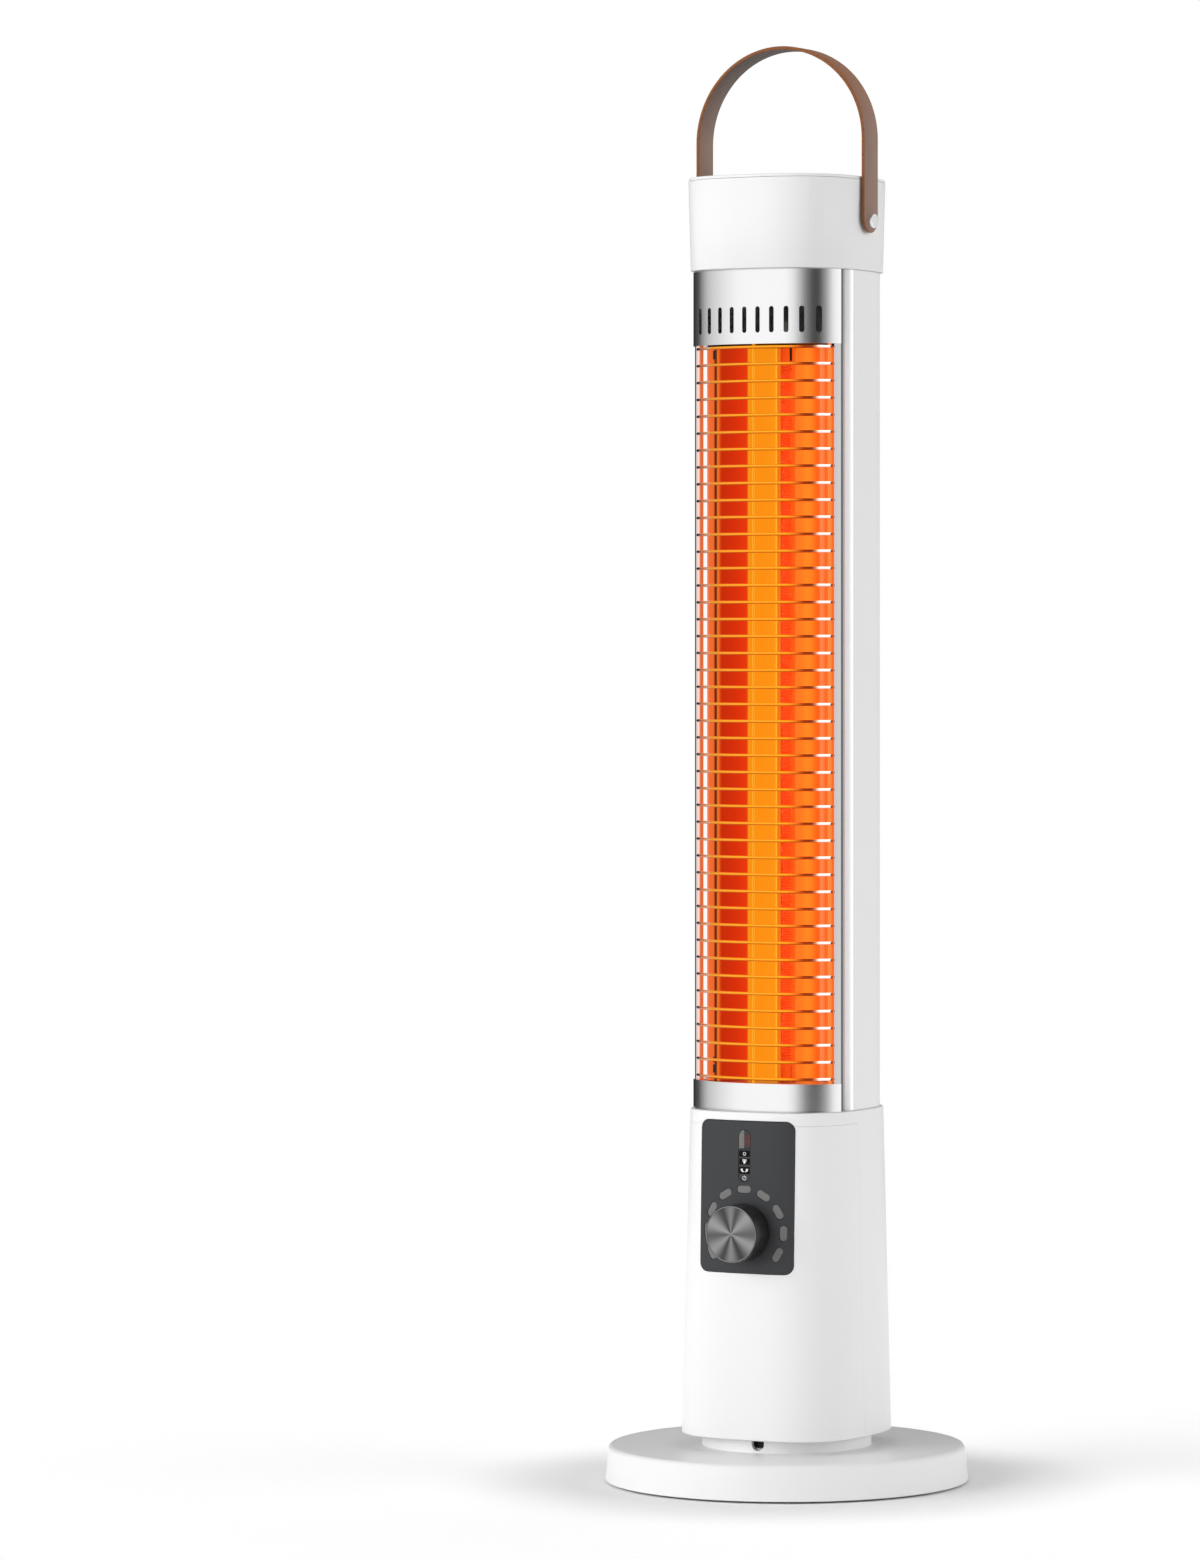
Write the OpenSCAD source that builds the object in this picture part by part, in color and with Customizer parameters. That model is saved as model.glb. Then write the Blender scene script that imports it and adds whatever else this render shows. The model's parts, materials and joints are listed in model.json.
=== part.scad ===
// Tower patio heater: a quartz lamp in front of a faceted reflector, behind a curved wire guard,
// on a column that swings from side to side on a round weighted base.
// Millimetres, Z up. The front faces -Y. The origin is on the floor, under the column's axis.

/* [Base] */
// Diameter of the base disc at its foot
base_d = 240; // [200:1:320]
// Height of the base disc's top above the floor
base_h = 24.5; // [22:0.5:40]
// How much narrower the base disc is at its top, on the radius
base_draft = 2.3; // [0:0.1:6]
// Radius of the base disc's rounded top edge
base_edge_r = 3; // [1:0.5:5]
// Wall of the base cover
base_wall = 3; // [2:0.1:4]
// Thickness of the rubber feet under the base plate
foot_h = 2.4; // [1.6:0.1:4]
// Number of rubber feet, and of the screws between them
foot_count = 6; // [4:1:8]
// Diameter of a rubber foot
foot_d = 16; // [10:0.5:22]
// Thickness of the steel base plate
plate_t = 1.6; // [1:0.1:3]
// Thickness of the ballast weight
ballast_h = 10; // [6:0.5:14]

/* [Swivel] */
// Diameter of the collar that the column turns on
collar_d = 112; // [104:1:114]
// Height of the collar above the base disc
collar_h = 8.3; // [8:0.1:12]
// Width of the notch in the collar
notch_w = 8.5; // [5:0.5:12]
// Depth of the notch from the collar's top edge
notch_h = 7; // [5:0.5:8]
// Where the notch lies, in degrees to the right of the front
notch_turn = 7.5; // [-30:0.5:30]
// How far the column swings to either side, in degrees
swing_angle = 45; // [20:1:60]
// Teeth of the fixed swing gear
gear_teeth = 48; // [36:1:60]
// Teeth of the motor's pinion
pinion_teeth = 12; // [12:1:16]
// Gear module
tooth_module = 1; // [0.8:0.05:1.1]
// Diameter of the pivot post
post_d = 24; // [18:0.5:30]

/* [Lower housing] */
// Height of the lower housing
housing_h = 214; // [190:1:260]
// Half width of the lower housing at its foot
foot_half_w = 63.5; // [62:0.5:75]
// Reach of the lower housing's foot to the front
foot_front = 63.3; // [62:0.1:75]
// Reach of the lower housing's foot to the back
foot_back = 64.1; // [62:0.1:75]
// Half width of the lower housing at its top
neck_half_w = 57.9; // [57.5:0.1:66]
// Reach of the lower housing's top to the front
neck_front = 59.2; // [57:0.1:66]
// Reach of the lower housing's top to the back
neck_back = 61.2; // [60.5:0.1:68]
// Squareness of the plan: 2 is an ellipse, more is squarer
plan_power = 2.9; // [2.6:0.1:3.6]
// Wall of the lower housing
housing_wall = 2.4; // [1.6:0.1:3]
// Place of the upright seam between the front and the rear shell
seam_y = -11; // [-20:1:10]
// Height of the rim above the front shell
rim_h = 8.3; // [6:0.1:10]

/* [Control panel] */
// Width of the control panel
panel_w = 68.8; // [60:0.2:76]
// Height of the control panel
panel_h = 99.6; // [90:0.2:110]
// Corner radius of the control panel
panel_r = 6; // [3:0.5:12]
// How far the panel stands proud of the housing
panel_proud = 0.6; // [0.3:0.1:1.5]
// Thickness of the panel's skin
panel_t = 2; // [1.4:0.1:2.2]
// Drop from the housing's top to the panel's upper edge
panel_drop = 5.4; // [4.5:0.1:12]
// Drop of the knob's axis below the panel's middle
knob_drop = 22.8; // [15:0.1:24]
// Diameter of the knob
knob_d = 37.6; // [30:0.1:40]
// How far the knob stands off the panel
knob_reach = 18.2; // [15:0.1:26]
// Travel of the knob when it is pressed
knob_travel = 1; // [0.5:0.1:1.4]
// Number of light windows round the knob
level_count = 9; // [5:2:11]
// Angle between the light windows
level_step = 30; // [24:1:34]
// Radius of the ring of light windows
level_ring_r = 27.9; // [25:0.1:30]
// Length of a light window
level_l = 10.6; // [7:0.1:12]
// Width of a light window
level_w = 5.4; // [4:0.1:6]

/* [Column] */
// Height of the column between the lower housing and the cap
column_h = 551.9; // [450:1:700]
// Half width of the rear housing
column_half_w = 56; // [54:0.1:57]
// Reach of the rear housing to the back
column_back = 58.5; // [54:0.1:60]
// Wall of the rear housing
column_wall = 2; // [1.4:0.1:2.6]
// Place of the rear housing's front edge
flange_y = -16; // [-20:0.5:-12]
// Width of the rear housing's inturned front edge
flange_w = 4.6; // [3:0.1:5.5]
// Reach of the steel bands to the front
band_front = 51.3; // [48:0.1:54]
// Half width at which the bands' curve would close
band_half_w = 63.4; // [61:0.1:66]
// Squareness of the bands' curve
band_power = 2.2; // [2:0.05:2.6]
// Half width at which the bands end
band_end_x = 54.8; // [53:0.1:56]
// Thickness of the bands' sheet
band_t = 0.8; // [0.5:0.1:1.2]
// Height of the bottom band above the lower housing
bottom_band_h = 18.5; // [14:0.1:30]
// Height of the top band below the cap
top_band_h = 49.2; // [40:0.1:70]
// Number of upright slots in the top band
slot_count = 10; // [4:1:10]
// Distance between slots
slot_pitch = 9.76; // [6:0.1:10]
// Width of a slot
slot_w = 3.2; // [2:0.1:3.8]
// Height of a slot
slot_h = 17.3; // [10:0.1:24]
// Height of the slots' foot above the top band's lower edge
slot_lift = 7.2; // [6:0.1:16]

/* [Guard] */
// Number of wires across the guard
wire_count = 44; // [20:1:48]
// Diameter of a wire
wire_d = 2; // [1.4:0.1:2.4]
// Diameter of an upright stay
stay_d = 2.4; // [1.6:0.1:3]
// Distance of the first and the last wire from the bands
wire_margin = 2.5; // [1.6:0.1:6]

/* [Lamp and reflector] */
// Half width of the reflector's flat back
mirror_back_w = 16; // [13:0.5:20]
// Place of the reflector's flat back
mirror_back_y = 17; // [14:0.5:24]
// Half width of the reflector at the fold in each side
mirror_fold_w = 33; // [28:0.5:36]
// Place of the fold in each side
mirror_fold_y = 8; // [4:0.5:12]
// Half width of the reflector's mouth
mirror_mouth_w = 43.6; // [40:0.1:44]
// Thickness of the reflector's sheet
mirror_t = 0.5; // [0.4:0.1:0.8]
// Outer diameter of the quartz tube
tube_d = 12.5; // [10:0.5:16]
// Wall of the quartz tube
tube_wall = 1.2; // [0.8:0.1:1.5]
// Diameter of the heating coil, to the middle of its wire
coil_d = 6; // [4:0.1:6.4]
// Diameter of the heating coil's wire
coil_wire_d = 0.8; // [0.5:0.1:1]
// Number of curls of the heating coil
coil_curls = 80; // [40:1:92]

/* [Cap and handle] */
// Height of the cap with its lid
cap_h = 61.4; // [56:0.1:80]
// Half width of the cap at its foot
cap_half_w = 58; // [57.5:0.1:60]
// Reach of the cap's foot to the front
cap_front = 58.5; // [57:0.1:62]
// Reach of the cap's foot to the back
cap_back = 60.3; // [60:0.1:64]
// How much the cap widens towards its top, on the radius
cap_flare = 1.5; // [0:0.1:1.8]
// Wall of the cap
cap_wall = 2.2; // [1.6:0.1:2.6]
// Thickness of the cap's lid
lid_t = 2; // [1.6:0.1:4]
// Width of the strap handle
strap_w = 20.5; // [14:0.5:26]
// Thickness of the strap handle
strap_t = 2.2; // [1.6:0.1:3]
// Half of the strap's outer width
strap_half_w = 62.5; // [62.4:0.1:64]
// Height of the rivets above the cap's foot
rivet_lift = 32.2; // [28:0.1:38]
// Distance from the rivets up to the top of the handle
handle_reach = 116.7; // [100:0.1:150]
// Distance from the rivets down to the strap's ends
strap_tail = 7.8; // [6.5:0.1:9]
// Diameter of a rivet's head
rivet_head_d = 9.4; // [7:0.1:10]
// Height of a rivet's head
rivet_head_h = 3.1; // [2:0.1:5]
// Diameter of a rivet's shank
rivet_d = 5; // [4:0.1:6]

/* [Hidden] */
$fn = 48;

// Clearances that every fit shares
run_gap = 0.05;    // round a shaft that turns or slides
seat_gap = 0.3;    // between pieces that are fixed side by side
part_gap = 0.2;    // between the edges of two casings that meet
overrun = 1;       // how far a cut runs past what it cuts
arc_steps = 6;     // flats in a rounded edge

// Screws
screw_d = 3;
screw_head_d = 6;
screw_head_h = 1.6;
screw_boss_d = 7.6;
boss_rib_t = 2;
boss_rib_l = 20;
screw_bite = 9;

// Base, from the floor up
base_r = base_d / 2;
rim_lift = 1.4;
plate_z = foot_h;
plate_top = plate_z + plate_t;
cover_ceiling = base_h - base_wall;
screw_ring_r = base_r - 20;
foot_ring_r = base_r - 17;
ballast_r = screw_ring_r - screw_boss_d / 2 - seat_gap;
ballast_chamfer = 1;
post_flange_r = 30;
post_flange_h = 3.2;
post_screw_ring_r = 24;
post_screw_count = 3;
ballast_hole_r = post_flange_r + 3;
lead_w = 9;
gland_d = 9;
gland_flange_d = 13;
gland_flange_t = 1;
gland_bore_d = 6.8;
gland_z = (plate_top + cover_ceiling) / 2;
plate_edge_gap = 0.6;

// Swivel, from the base disc's top up
collar_r = collar_d / 2;
collar_wall = 4;
collar_web_t = 2.5;
collar_top = base_h + collar_h;
collar_web_top = base_h + collar_web_t;
cover_hole_r = 34;
cover_hole_gap = 0.2;
post_r = post_d / 2;
post_bore_r = 6.5;
nut_h = 5;
housing_z = collar_top + seat_gap;
turntable_z = housing_z + 0.5;
turntable_t = 3;
turntable_top = turntable_z + turntable_t;
sleeve_wall = 4;
sleeve_top = turntable_top + 5;
gear_z = sleeve_top + seat_gap;
gear_h = 6;
post_neck_r = post_r - 3;
glide_r = 46;
glide_w = 4;
stop_pin_r = 2;
stop_ring_r = 36;
stop_pin_rise = 1.5;
tooth_slack = 0.12;
pressure_angle = 25;
addendum_share = 1;
dedendum_share = 1.25;
gear_hub_r = post_r + 2;
pinion_gap = 0.1;
pinion_offset = tooth_module * (gear_teeth + pinion_teeth) / 2 + pinion_gap;
pinion_h = gear_h - 0.8;
motor_d = 28;
motor_h = 19;
motor_z = gear_z + gear_h + 4;
motor_plate_t = 1.6;
motor_shaft_r = 2.5;
motor_boss_r = 4.5;
bracket_w = 36;

// Lower housing
housing_top = housing_z + housing_h;
housing_edge = 1.2;
seam_z = housing_top - rim_h;
plan_sides = 64;
boss_h = 14;
floor_t = 2.5;
floor_top = housing_top + seat_gap;
floor_z = floor_top - floor_t;
shell_screw_shares = [0.14, 0.88];
shell_screw_zs = [for (s = shell_screw_shares) housing_z + s * housing_h];
shell_screw_sink = 0.6;
shell_screw_x = 30;
shell_boss_l = 12;
cable_hole_r = 8;

// Control panel, measured on the housing's front
panel_top = housing_top - panel_drop;
panel_mid_z = panel_top - panel_h / 2;
knob_z = panel_mid_z - knob_drop;
panel_lap = 4;
panel_steps = 14;
board_t = 1.6;
board_gap = 6.5;
board_w = 50;
board_edge = 8;
board_h = panel_h - 2 * board_edge;
panel_post_d = 5;
strip_w = 9;
strip_drop = 5.6;
strip_top_z = panel_top - strip_drop;
receiver_h = 12.8;
icon_h = 21.2;
strip_gap = 0.6;
strip_foot_z = strip_top_z - receiver_h - strip_gap - icon_h;
window_gap = 0.1;
encoder_w = 13;
encoder_bush_r = 4.6;
sleeve_r = 3.2;
knob_shaft_r = 2;
panel_hole_r = encoder_bush_r + 0.3;
knob_gap = 1.6;
knob_wall = 2.2;
knob_bevel = 0.8;
knob_face_t = 0.8;
knob_face_r = knob_d / 2 - 1.1;
knob_hub_r = 5.5;

// Power board at the back of the lower housing
power_w = 70;
power_h = 90;
power_y = 40;
power_share = 0.36;
power_z = housing_z + power_share * housing_h;
power_post_d = 6;
relay_l = 20;
relay_w = 16;
relay_h = 12;
tilt_w = 18;
tilt_h = 22;
tilt_d = 14;

// Column
cap_z = housing_top + column_h;
column_top = cap_z - seat_gap;
bottom_band_top = housing_top + bottom_band_h;
top_band_foot = cap_z - top_band_h;
band_steps = 24;
plate_sheet_t = 1;
lower_deck_z = bottom_band_top - 3.2;
lower_deck_top = lower_deck_z + plate_sheet_t;
upper_deck_z = top_band_foot + 1.6;
upper_deck_top = upper_deck_z + plate_sheet_t;
back_steps = 28;
vent_w = 40;
vent_h = 3;
vent_pitch = 8;
vent_rows = 3;
head_vent_rows = 2;
vent_inset = 16;
column_edge_r = 2.5;
rail_x = 50.9;
rail_end_x = 54.1;
rail_t = 0.6;
rail_steps = 4;
deck_side_gap = 0.4;

// Guard
wire_r = wire_d / 2;
stay_r = stay_d / 2;
wire_gap = 0.1;
wire_bend_steps = 12;
wire_sides = 6;
wire_inset = band_t + wire_r;
wire_end_x = rail_x - wire_r - wire_gap;
stay_inset = wire_inset + wire_r + stay_r + wire_gap;
stay_end_x = wire_end_x - stay_d;
wire_low_z = bottom_band_top + wire_margin + wire_r / 2;
wire_high_z = top_band_foot - wire_margin + wire_r / 2;
wire_pitch = (wire_high_z - wire_low_z) / (wire_count - 1);

// Lamp and reflector
mirror_lip_y = flange_y + column_wall + seat_gap;
groove_crest = 1.6;
groove_w = 1.4;
groove_depth = 2.5;
mirror_lip_x = column_half_w - column_wall - 0.6;
mirror_foot = lower_deck_top + seat_gap;
mirror_head = upper_deck_z - seat_gap;
bracket_share = [0.2, 0.8];
bracket_h = 14;
bracket_t = 1;
tube_r = tube_d / 2;
tube_reach = 12;
tube_foot = lower_deck_z - tube_reach;
tube_head = upper_deck_top + tube_reach;
lamp_end_r = 8.5;
lamp_end_h = 14;
clip_t = 0.8;
clip_w = 30;
clip_edge = 3;
coil_margin = 12;
coil_foot = lower_deck_top + coil_margin;
coil_head = upper_deck_z - coil_margin;
coil_rings = 8;
coil_sides = 6;
lead_r = 0.8;
cutout_r = 8;
cutout_h = 7;
cutout_y = 34;

// Cap and handle
cap_top = cap_z + cap_h;
cap_rim = cap_top - lid_t - part_gap;
cap_edge = 0.5;
top_deck_t = 2;
top_deck_z = column_top;
top_deck_top = top_deck_z + top_deck_t;
cap_boss_top = cap_z + 24;
lid_edge = 1;
lid_skirt_h = 4;
lid_skirt_t = 1.6;
pivot_z = cap_z + rivet_lift;
strap_inner = strap_half_w - strap_t;
arch_z = pivot_z + handle_reach - strap_half_w;
washer_r = 5.5;
rivet_plate_r = 8;
rivet_plate_t = 1.5;
rivet_tail_h = 1.5;
rivet_edge = 0.6;
side_tilt_gap = 0.35;

// Plain helpers for outlines
function mix(a, b, t) = a + (b - a) * t;
function signed_power(v, p) = sign(v) * pow(abs(v), p);
function superellipse(w, f, b, sides = plan_sides, power = plan_power) = [
  for (i = [0 : sides - 1])
    let (t = 360 * i / sides, reach = sin(t) < 0 ? f : b)
      [w * signed_power(cos(t), 2 / power), reach * signed_power(sin(t), 2 / power)]
];
function curve_y(x, w, reach, power) = -reach * pow(1 - pow(abs(x) / w, power), 1 / power);
function arc(c, r, a0, a1, n = arc_steps) = [
  for (i = [0 : n]) let (a = mix(a0, a1, i / n)) c + r * [cos(a), sin(a)]
];
function mirrored(path) = [for (i = [len(path) - 1 : -1 : 0]) [-path[i][0], path[i][1]]];
function left_of(p, q) = let (d = (q - p) / norm(q - p)) [-d[1], d[0]];
function fold(path, i) =
  let (
    last = len(path) - 1,
    before = left_of(path[max(i - 1, 0)], path[max(i, 1)]),
    after = left_of(path[min(i, last - 1)], path[min(i + 1, last)])
  ) (before + after) / (1 + before * after);

// The outline of a sheet that lies to the left of a path
function sheet(path, t) = concat(
  path,
  [for (i = [len(path) - 1 : -1 : 0]) path[i] + t * fold(path, i)]
);

// Plans of the lower housing and of the cap at a height, drawn in by an inset
function housing_share(z) = (z - housing_z) / housing_h;
function housing_w(z, inset = 0) = mix(foot_half_w, neck_half_w, housing_share(z)) - inset;
function housing_f(z, inset = 0) = mix(foot_front, neck_front, housing_share(z)) - inset;
function housing_b(z, inset = 0) = mix(foot_back, neck_back, housing_share(z)) - inset;
function housing_plan(z, inset = 0) =
  superellipse(housing_w(z, inset), housing_f(z, inset), housing_b(z, inset));
function cap_grow(z) = cap_flare * (z - cap_z) / cap_h;
function cap_plan(z, inset = 0) = superellipse(
  cap_half_w + cap_grow(z) - inset, cap_front + cap_grow(z) - inset, cap_back + cap_grow(z) - inset
);
function back_y(x, z) = -curve_y(x, housing_w(z), housing_b(z), plan_power);
function band_y(x, inset = 0) = curve_y(x, band_half_w - inset, band_front - inset, band_power);
function band_curve(end_x, inset = 0, n = band_steps) = [
  for (i = [0 : n]) let (x = -end_x * cos(180 * i / n)) [x, band_y(x, inset)]
];
function back_curve(w, b) = [
  for (i = [0 : back_steps])
    let (t = 180 * i / back_steps)
      [w * signed_power(cos(t), 2 / plan_power), b * pow(sin(t), 2 / plan_power)]
];

// How far along the diagonal a plan reaches, as a place for a corner boss
function corner_share() = pow(0.5, 1 / plan_power);

module ring_faces_solid(points, rings, sides, closed = false) {
  last = closed ? rings - 1 : rings - 2;
  walls = [
    for (i = [0 : last], j = [0 : sides - 1])
      let (
        n = (j + 1) % sides, up = (i + 1) % rings,
        a = i * sides + j, b = i * sides + n, c = up * sides + n, d = up * sides + j
      )
      each [[a, d, c], [a, c, b]]
  ];
  caps = closed ? [] : [
    [for (j = [0 : sides - 1]) j],
    [for (j = [sides - 1 : -1 : 0]) (rings - 1) * sides + j]
  ];
  polyhedron(points = points, faces = concat(walls, caps), convexity = 8);
}

// A solid through plans at rising heights
module loft(levels) {
  ring_faces_solid(
    [for (l = levels) for (p = l[1]) [p[0], p[1], l[0]]],
    len(levels), len(levels[0][1])
  );
}

// A wall through plans that go up the outside and down the inside
module loft_wall(levels) {
  ring_faces_solid(
    [for (l = levels) for (p = l[1]) [p[0], p[1], l[0]]],
    len(levels), len(levels[0][1]), true
  );
}

module pill(l, w) {
  square([l - w, w], center = true);
  for (s = [-1, 1]) translate([s * (l - w) / 2, 0]) circle(d = w);
}

module rounded_rect(w, h, r) {
  square([w - 2 * r, h], center = true);
  square([w, h - 2 * r], center = true);
  for (x = [-1, 1], y = [-1, 1])
    translate([x * (w / 2 - r), y * (h / 2 - r)]) circle(r = r);
}

// Stands a flat shape in the XZ plane and runs it from y0 to y1
module along_y(y0, y1) {
  translate([0, y1, 0]) rotate([90, 0, 0]) linear_extrude(y1 - y0) children();
}

module along_x(x0, x1) {
  translate([x0, 0, 0]) rotate([90, 0, 90]) linear_extrude(x1 - x0) children();
}

module tube(r_out, r_in, z0, z1) {
  translate([0, 0, z0])
    difference() {
      cylinder(r = r_out, h = z1 - z0);
      translate([0, 0, -overrun]) cylinder(r = r_in, h = z1 - z0 + 2 * overrun);
    }
}

// A screw that points up, with its head's underside at the origin
module screw(shank) {
  cylinder(d = screw_d, h = shank);
  translate([0, 0, -screw_head_h]) cylinder(d = screw_head_d, h = screw_head_h);
}

module round_places(count, r, turn = 0) {
  for (i = [0 : count - 1]) rotate([0, 0, turn + 360 * i / count]) translate([r, 0, 0]) children();
}

// Places on the diagonals of a plan, turned to look outwards
module corner_places(w, f, b) {
  s = corner_share();
  for (x = [0, 1])
    mirror([x, 0, 0]) {
      translate([w * s, b * s, 0]) rotate([0, 0, 45]) children();
      translate([w * s, -f * s, 0]) rotate([0, 0, -45]) children();
    }
}

// A screw boss with a rib that runs out to the wall
module ribbed_boss(z0, z1) {
  difference() {
    translate([0, 0, z0]) {
      cylinder(d = screw_boss_d, h = z1 - z0);
      translate([0, -boss_rib_t / 2, 0]) cube([boss_rib_l, boss_rib_t, z1 - z0]);
    }
    translate([0, 0, z0 - overrun])
      cylinder(r = screw_d / 2 + run_gap, h = z1 - z0 + 2 * overrun);
  }
}

// Screws in the column's corners, clear of its walls
module column_screw_places() {
  reach = column_wall + screw_boss_d / 2;
  corner_places(column_half_w - reach, band_front - reach, column_back - reach) children();
}

// Base

function cover_r(z) = base_r - base_draft * (z - rim_lift) / (base_h - rim_lift);
function plate_r() = cover_r(plate_top) - base_wall - plate_edge_gap;

module base_screw_places() {
  round_places(foot_count, screw_ring_r, 180 / foot_count) children();
}

module post_screw_places() {
  round_places(post_screw_count, post_screw_ring_r, 30) children();
}

module base_cover() {
  edge_z = base_h - base_edge_r;
  edge_x = cover_r(edge_z) - base_edge_r;
  inner_r = max(base_edge_r - base_wall, 0) + 0.4 * base_wall;
  outside = concat(
    [[cover_hole_r, base_h]],
    [for (p = arc([edge_x, edge_z], base_edge_r, 90, 0)) p],
    [[base_r, rim_lift]]
  );
  inside = concat(
    [[base_r - base_wall, rim_lift]],
    arc([cover_r(cover_ceiling) - base_wall - inner_r, cover_ceiling - inner_r], inner_r, 0, 90),
    [[cover_hole_r, cover_ceiling]]
  );
  color("white")
    difference() {
      union() {
        rotate_extrude() polygon(concat(outside, inside));
        base_screw_places()
          translate([0, 0, plate_top])
            cylinder(d = screw_boss_d, h = base_h - base_wall / 2 - plate_top);
      }
      base_screw_places()
        translate([0, 0, plate_top - overrun])
          cylinder(d = screw_d + 2 * run_gap, h = screw_bite + 2 * overrun);
      translate([0, base_r, gland_z])
        rotate([90, 0, 0]) cylinder(d = gland_d + 2 * run_gap, h = 4 * base_wall, center = true);
    }
}

module base_plate() {
  color("silver")
    translate([0, 0, plate_z])
      difference() {
        cylinder(r = plate_r(), h = plate_t);
        base_screw_places()
          translate([0, 0, -overrun]) cylinder(d = screw_d + seat_gap, h = plate_t + 2 * overrun);
        post_screw_places()
          translate([0, 0, -overrun]) cylinder(d = screw_d + seat_gap, h = plate_t + 2 * overrun);
      }
}

module ballast_weight() {
  c = ballast_chamfer;
  color("dimgray")
    difference() {
      rotate_extrude()
        translate([0, plate_top])
          polygon([
            [ballast_hole_r, 0], [ballast_r, 0], [ballast_r, ballast_h - c],
            [ballast_r - c, ballast_h], [ballast_hole_r + c, ballast_h],
            [ballast_hole_r, ballast_h - c]
          ]);
      translate([-lead_w / 2, 0, plate_top - overrun])
        cube([lead_w, base_r, ballast_h + 2 * overrun]);
    }
}

module rubber_feet() {
  color("black")
    round_places(foot_count, foot_ring_r) cylinder(d = foot_d, h = foot_h);
}

module base_screws() {
  color("gray")
    base_screw_places() translate([0, 0, plate_z]) screw(screw_bite);
}

module cord_gland() {
  wall_out = cover_r(gland_z);
  wall_in = wall_out - base_wall;
  side_drop = base_draft + seat_gap;
  color("black")
    difference() {
      union() {
        translate([0, 0, gland_z]) {
          along_y(wall_in - side_drop - gland_flange_t, base_r - gland_flange_t / 8)
            circle(d = gland_d);
          along_y(wall_in - side_drop - gland_flange_t, wall_in - side_drop)
            circle(d = gland_flange_d);
        }
      }
      translate([0, 0, gland_z])
        along_y(wall_in - side_drop - gland_flange_t - overrun, base_r + overrun)
          circle(d = gland_bore_d);
    }
}

// Swivel

module pivot_post() {
  flange_top = plate_top + post_flange_h;
  color("gray")
    difference() {
      rotate_extrude()
        polygon([
          [post_bore_r, plate_top], [post_flange_r, plate_top], [post_flange_r, flange_top],
          [post_r, flange_top], [post_r, gear_z], [post_neck_r, gear_z],
          [post_neck_r, gear_z + gear_h + nut_h], [post_bore_r, gear_z + gear_h + nut_h]
        ]);
      post_screw_places()
        translate([0, 0, plate_top - overrun])
          cylinder(d = screw_d + 2 * run_gap, h = post_flange_h + 2 * overrun);
      translate([-lead_w / 2, 0, plate_top - overrun])
        cube([lead_w, post_flange_r + overrun, lead_w + overrun]);
    }
}

module post_screws() {
  color("gray")
    post_screw_places()
      translate([0, 0, plate_z]) screw(plate_t + post_flange_h);
}

module swivel_collar() {
  wall_in = collar_r - collar_wall;
  post_hole = post_r + seat_gap;
  spigot_r = cover_hole_r - cover_hole_gap;
  notch_z = collar_top - notch_h + notch_w / 2;
  color("white") {
    difference() {
      rotate_extrude()
        polygon([
          [post_hole, base_h - base_wall], [spigot_r, base_h - base_wall], [spigot_r, base_h],
          [collar_r, base_h], [collar_r, collar_top], [wall_in, collar_top],
          [wall_in, collar_web_top], [post_hole, collar_web_top]
        ]);
      rotate([0, 0, notch_turn]) {
        translate([0, -wall_in + overrun, notch_z])
          rotate([90, 0, 0]) cylinder(d = notch_w, h = collar_wall + 2 * overrun);
        translate([-notch_w / 2, -collar_r - overrun, notch_z])
          cube([notch_w, collar_wall + 2 * overrun, notch_h]);
      }
    }
    translate([0, -stop_ring_r, collar_web_top - collar_web_t / 2])
      cylinder(r = stop_pin_r, h = turntable_top + stop_pin_rise - collar_web_top + collar_web_t / 2);
  }
}

module glide_ring() {
  color("ivory")
    tube(glide_r + glide_w / 2, glide_r - glide_w / 2, collar_web_top, turntable_z - seat_gap);
}

// One flank's half thickness, in degrees, where the tooth is r from the wheel's centre
function roll(a) = tan(a) * 180 / PI - a;
function tooth_half(r, pitch_r) =
  let (
    base = pitch_r * cos(pressure_angle),
    half = (PI * tooth_module / 2 - tooth_slack) / 2 / pitch_r * 180 / PI
  )
  half + roll(pressure_angle) - roll(acos(min(base / max(r, base), 1)));

function wheel(teeth) =
  let (
    pitch_r = tooth_module * teeth / 2,
    tip = pitch_r + addendum_share * tooth_module,
    root = pitch_r - dedendum_share * tooth_module,
    foot = max(root, pitch_r * cos(pressure_angle)),
    rs = [for (i = [0 : 4]) mix(foot, tip, i / 4)]
  )
  [
    for (k = [0 : teeth - 1])
      let (a = 360 * k / teeth)
        each concat(
          [let (b = a - tooth_half(foot, pitch_r)) root * [cos(b), sin(b)]],
          [for (r = rs) let (b = a - tooth_half(r, pitch_r)) r * [cos(b), sin(b)]],
          [for (i = [4 : -1 : 0]) let (b = a + tooth_half(rs[i], pitch_r)) rs[i] * [cos(b), sin(b)]],
          [let (b = a + tooth_half(foot, pitch_r)) root * [cos(b), sin(b)]]
        )
  ];

module swing_gear() {
  color("ivory")
    translate([0, 0, gear_z])
      difference() {
        rotate([0, 0, 90]) linear_extrude(gear_h) polygon(wheel(gear_teeth));
        translate([0, 0, -overrun])
          cylinder(r = post_neck_r + run_gap, h = gear_h + 2 * overrun);
      }
}

module retaining_nut() {
  z = gear_z + gear_h;
  color("gray")
    translate([0, 0, z])
      difference() {
        cylinder(r = gear_hub_r, h = nut_h, $fn = 6);
        translate([0, 0, -overrun])
          cylinder(r = post_neck_r + run_gap, h = nut_h + 2 * overrun);
      }
}

module turntable_boss_places() {
  reach = screw_boss_d / 2 + housing_wall;
  corner_places(
    housing_w(turntable_top, reach), housing_f(turntable_top, reach), housing_b(turntable_top, reach)
  ) children();
}

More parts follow.
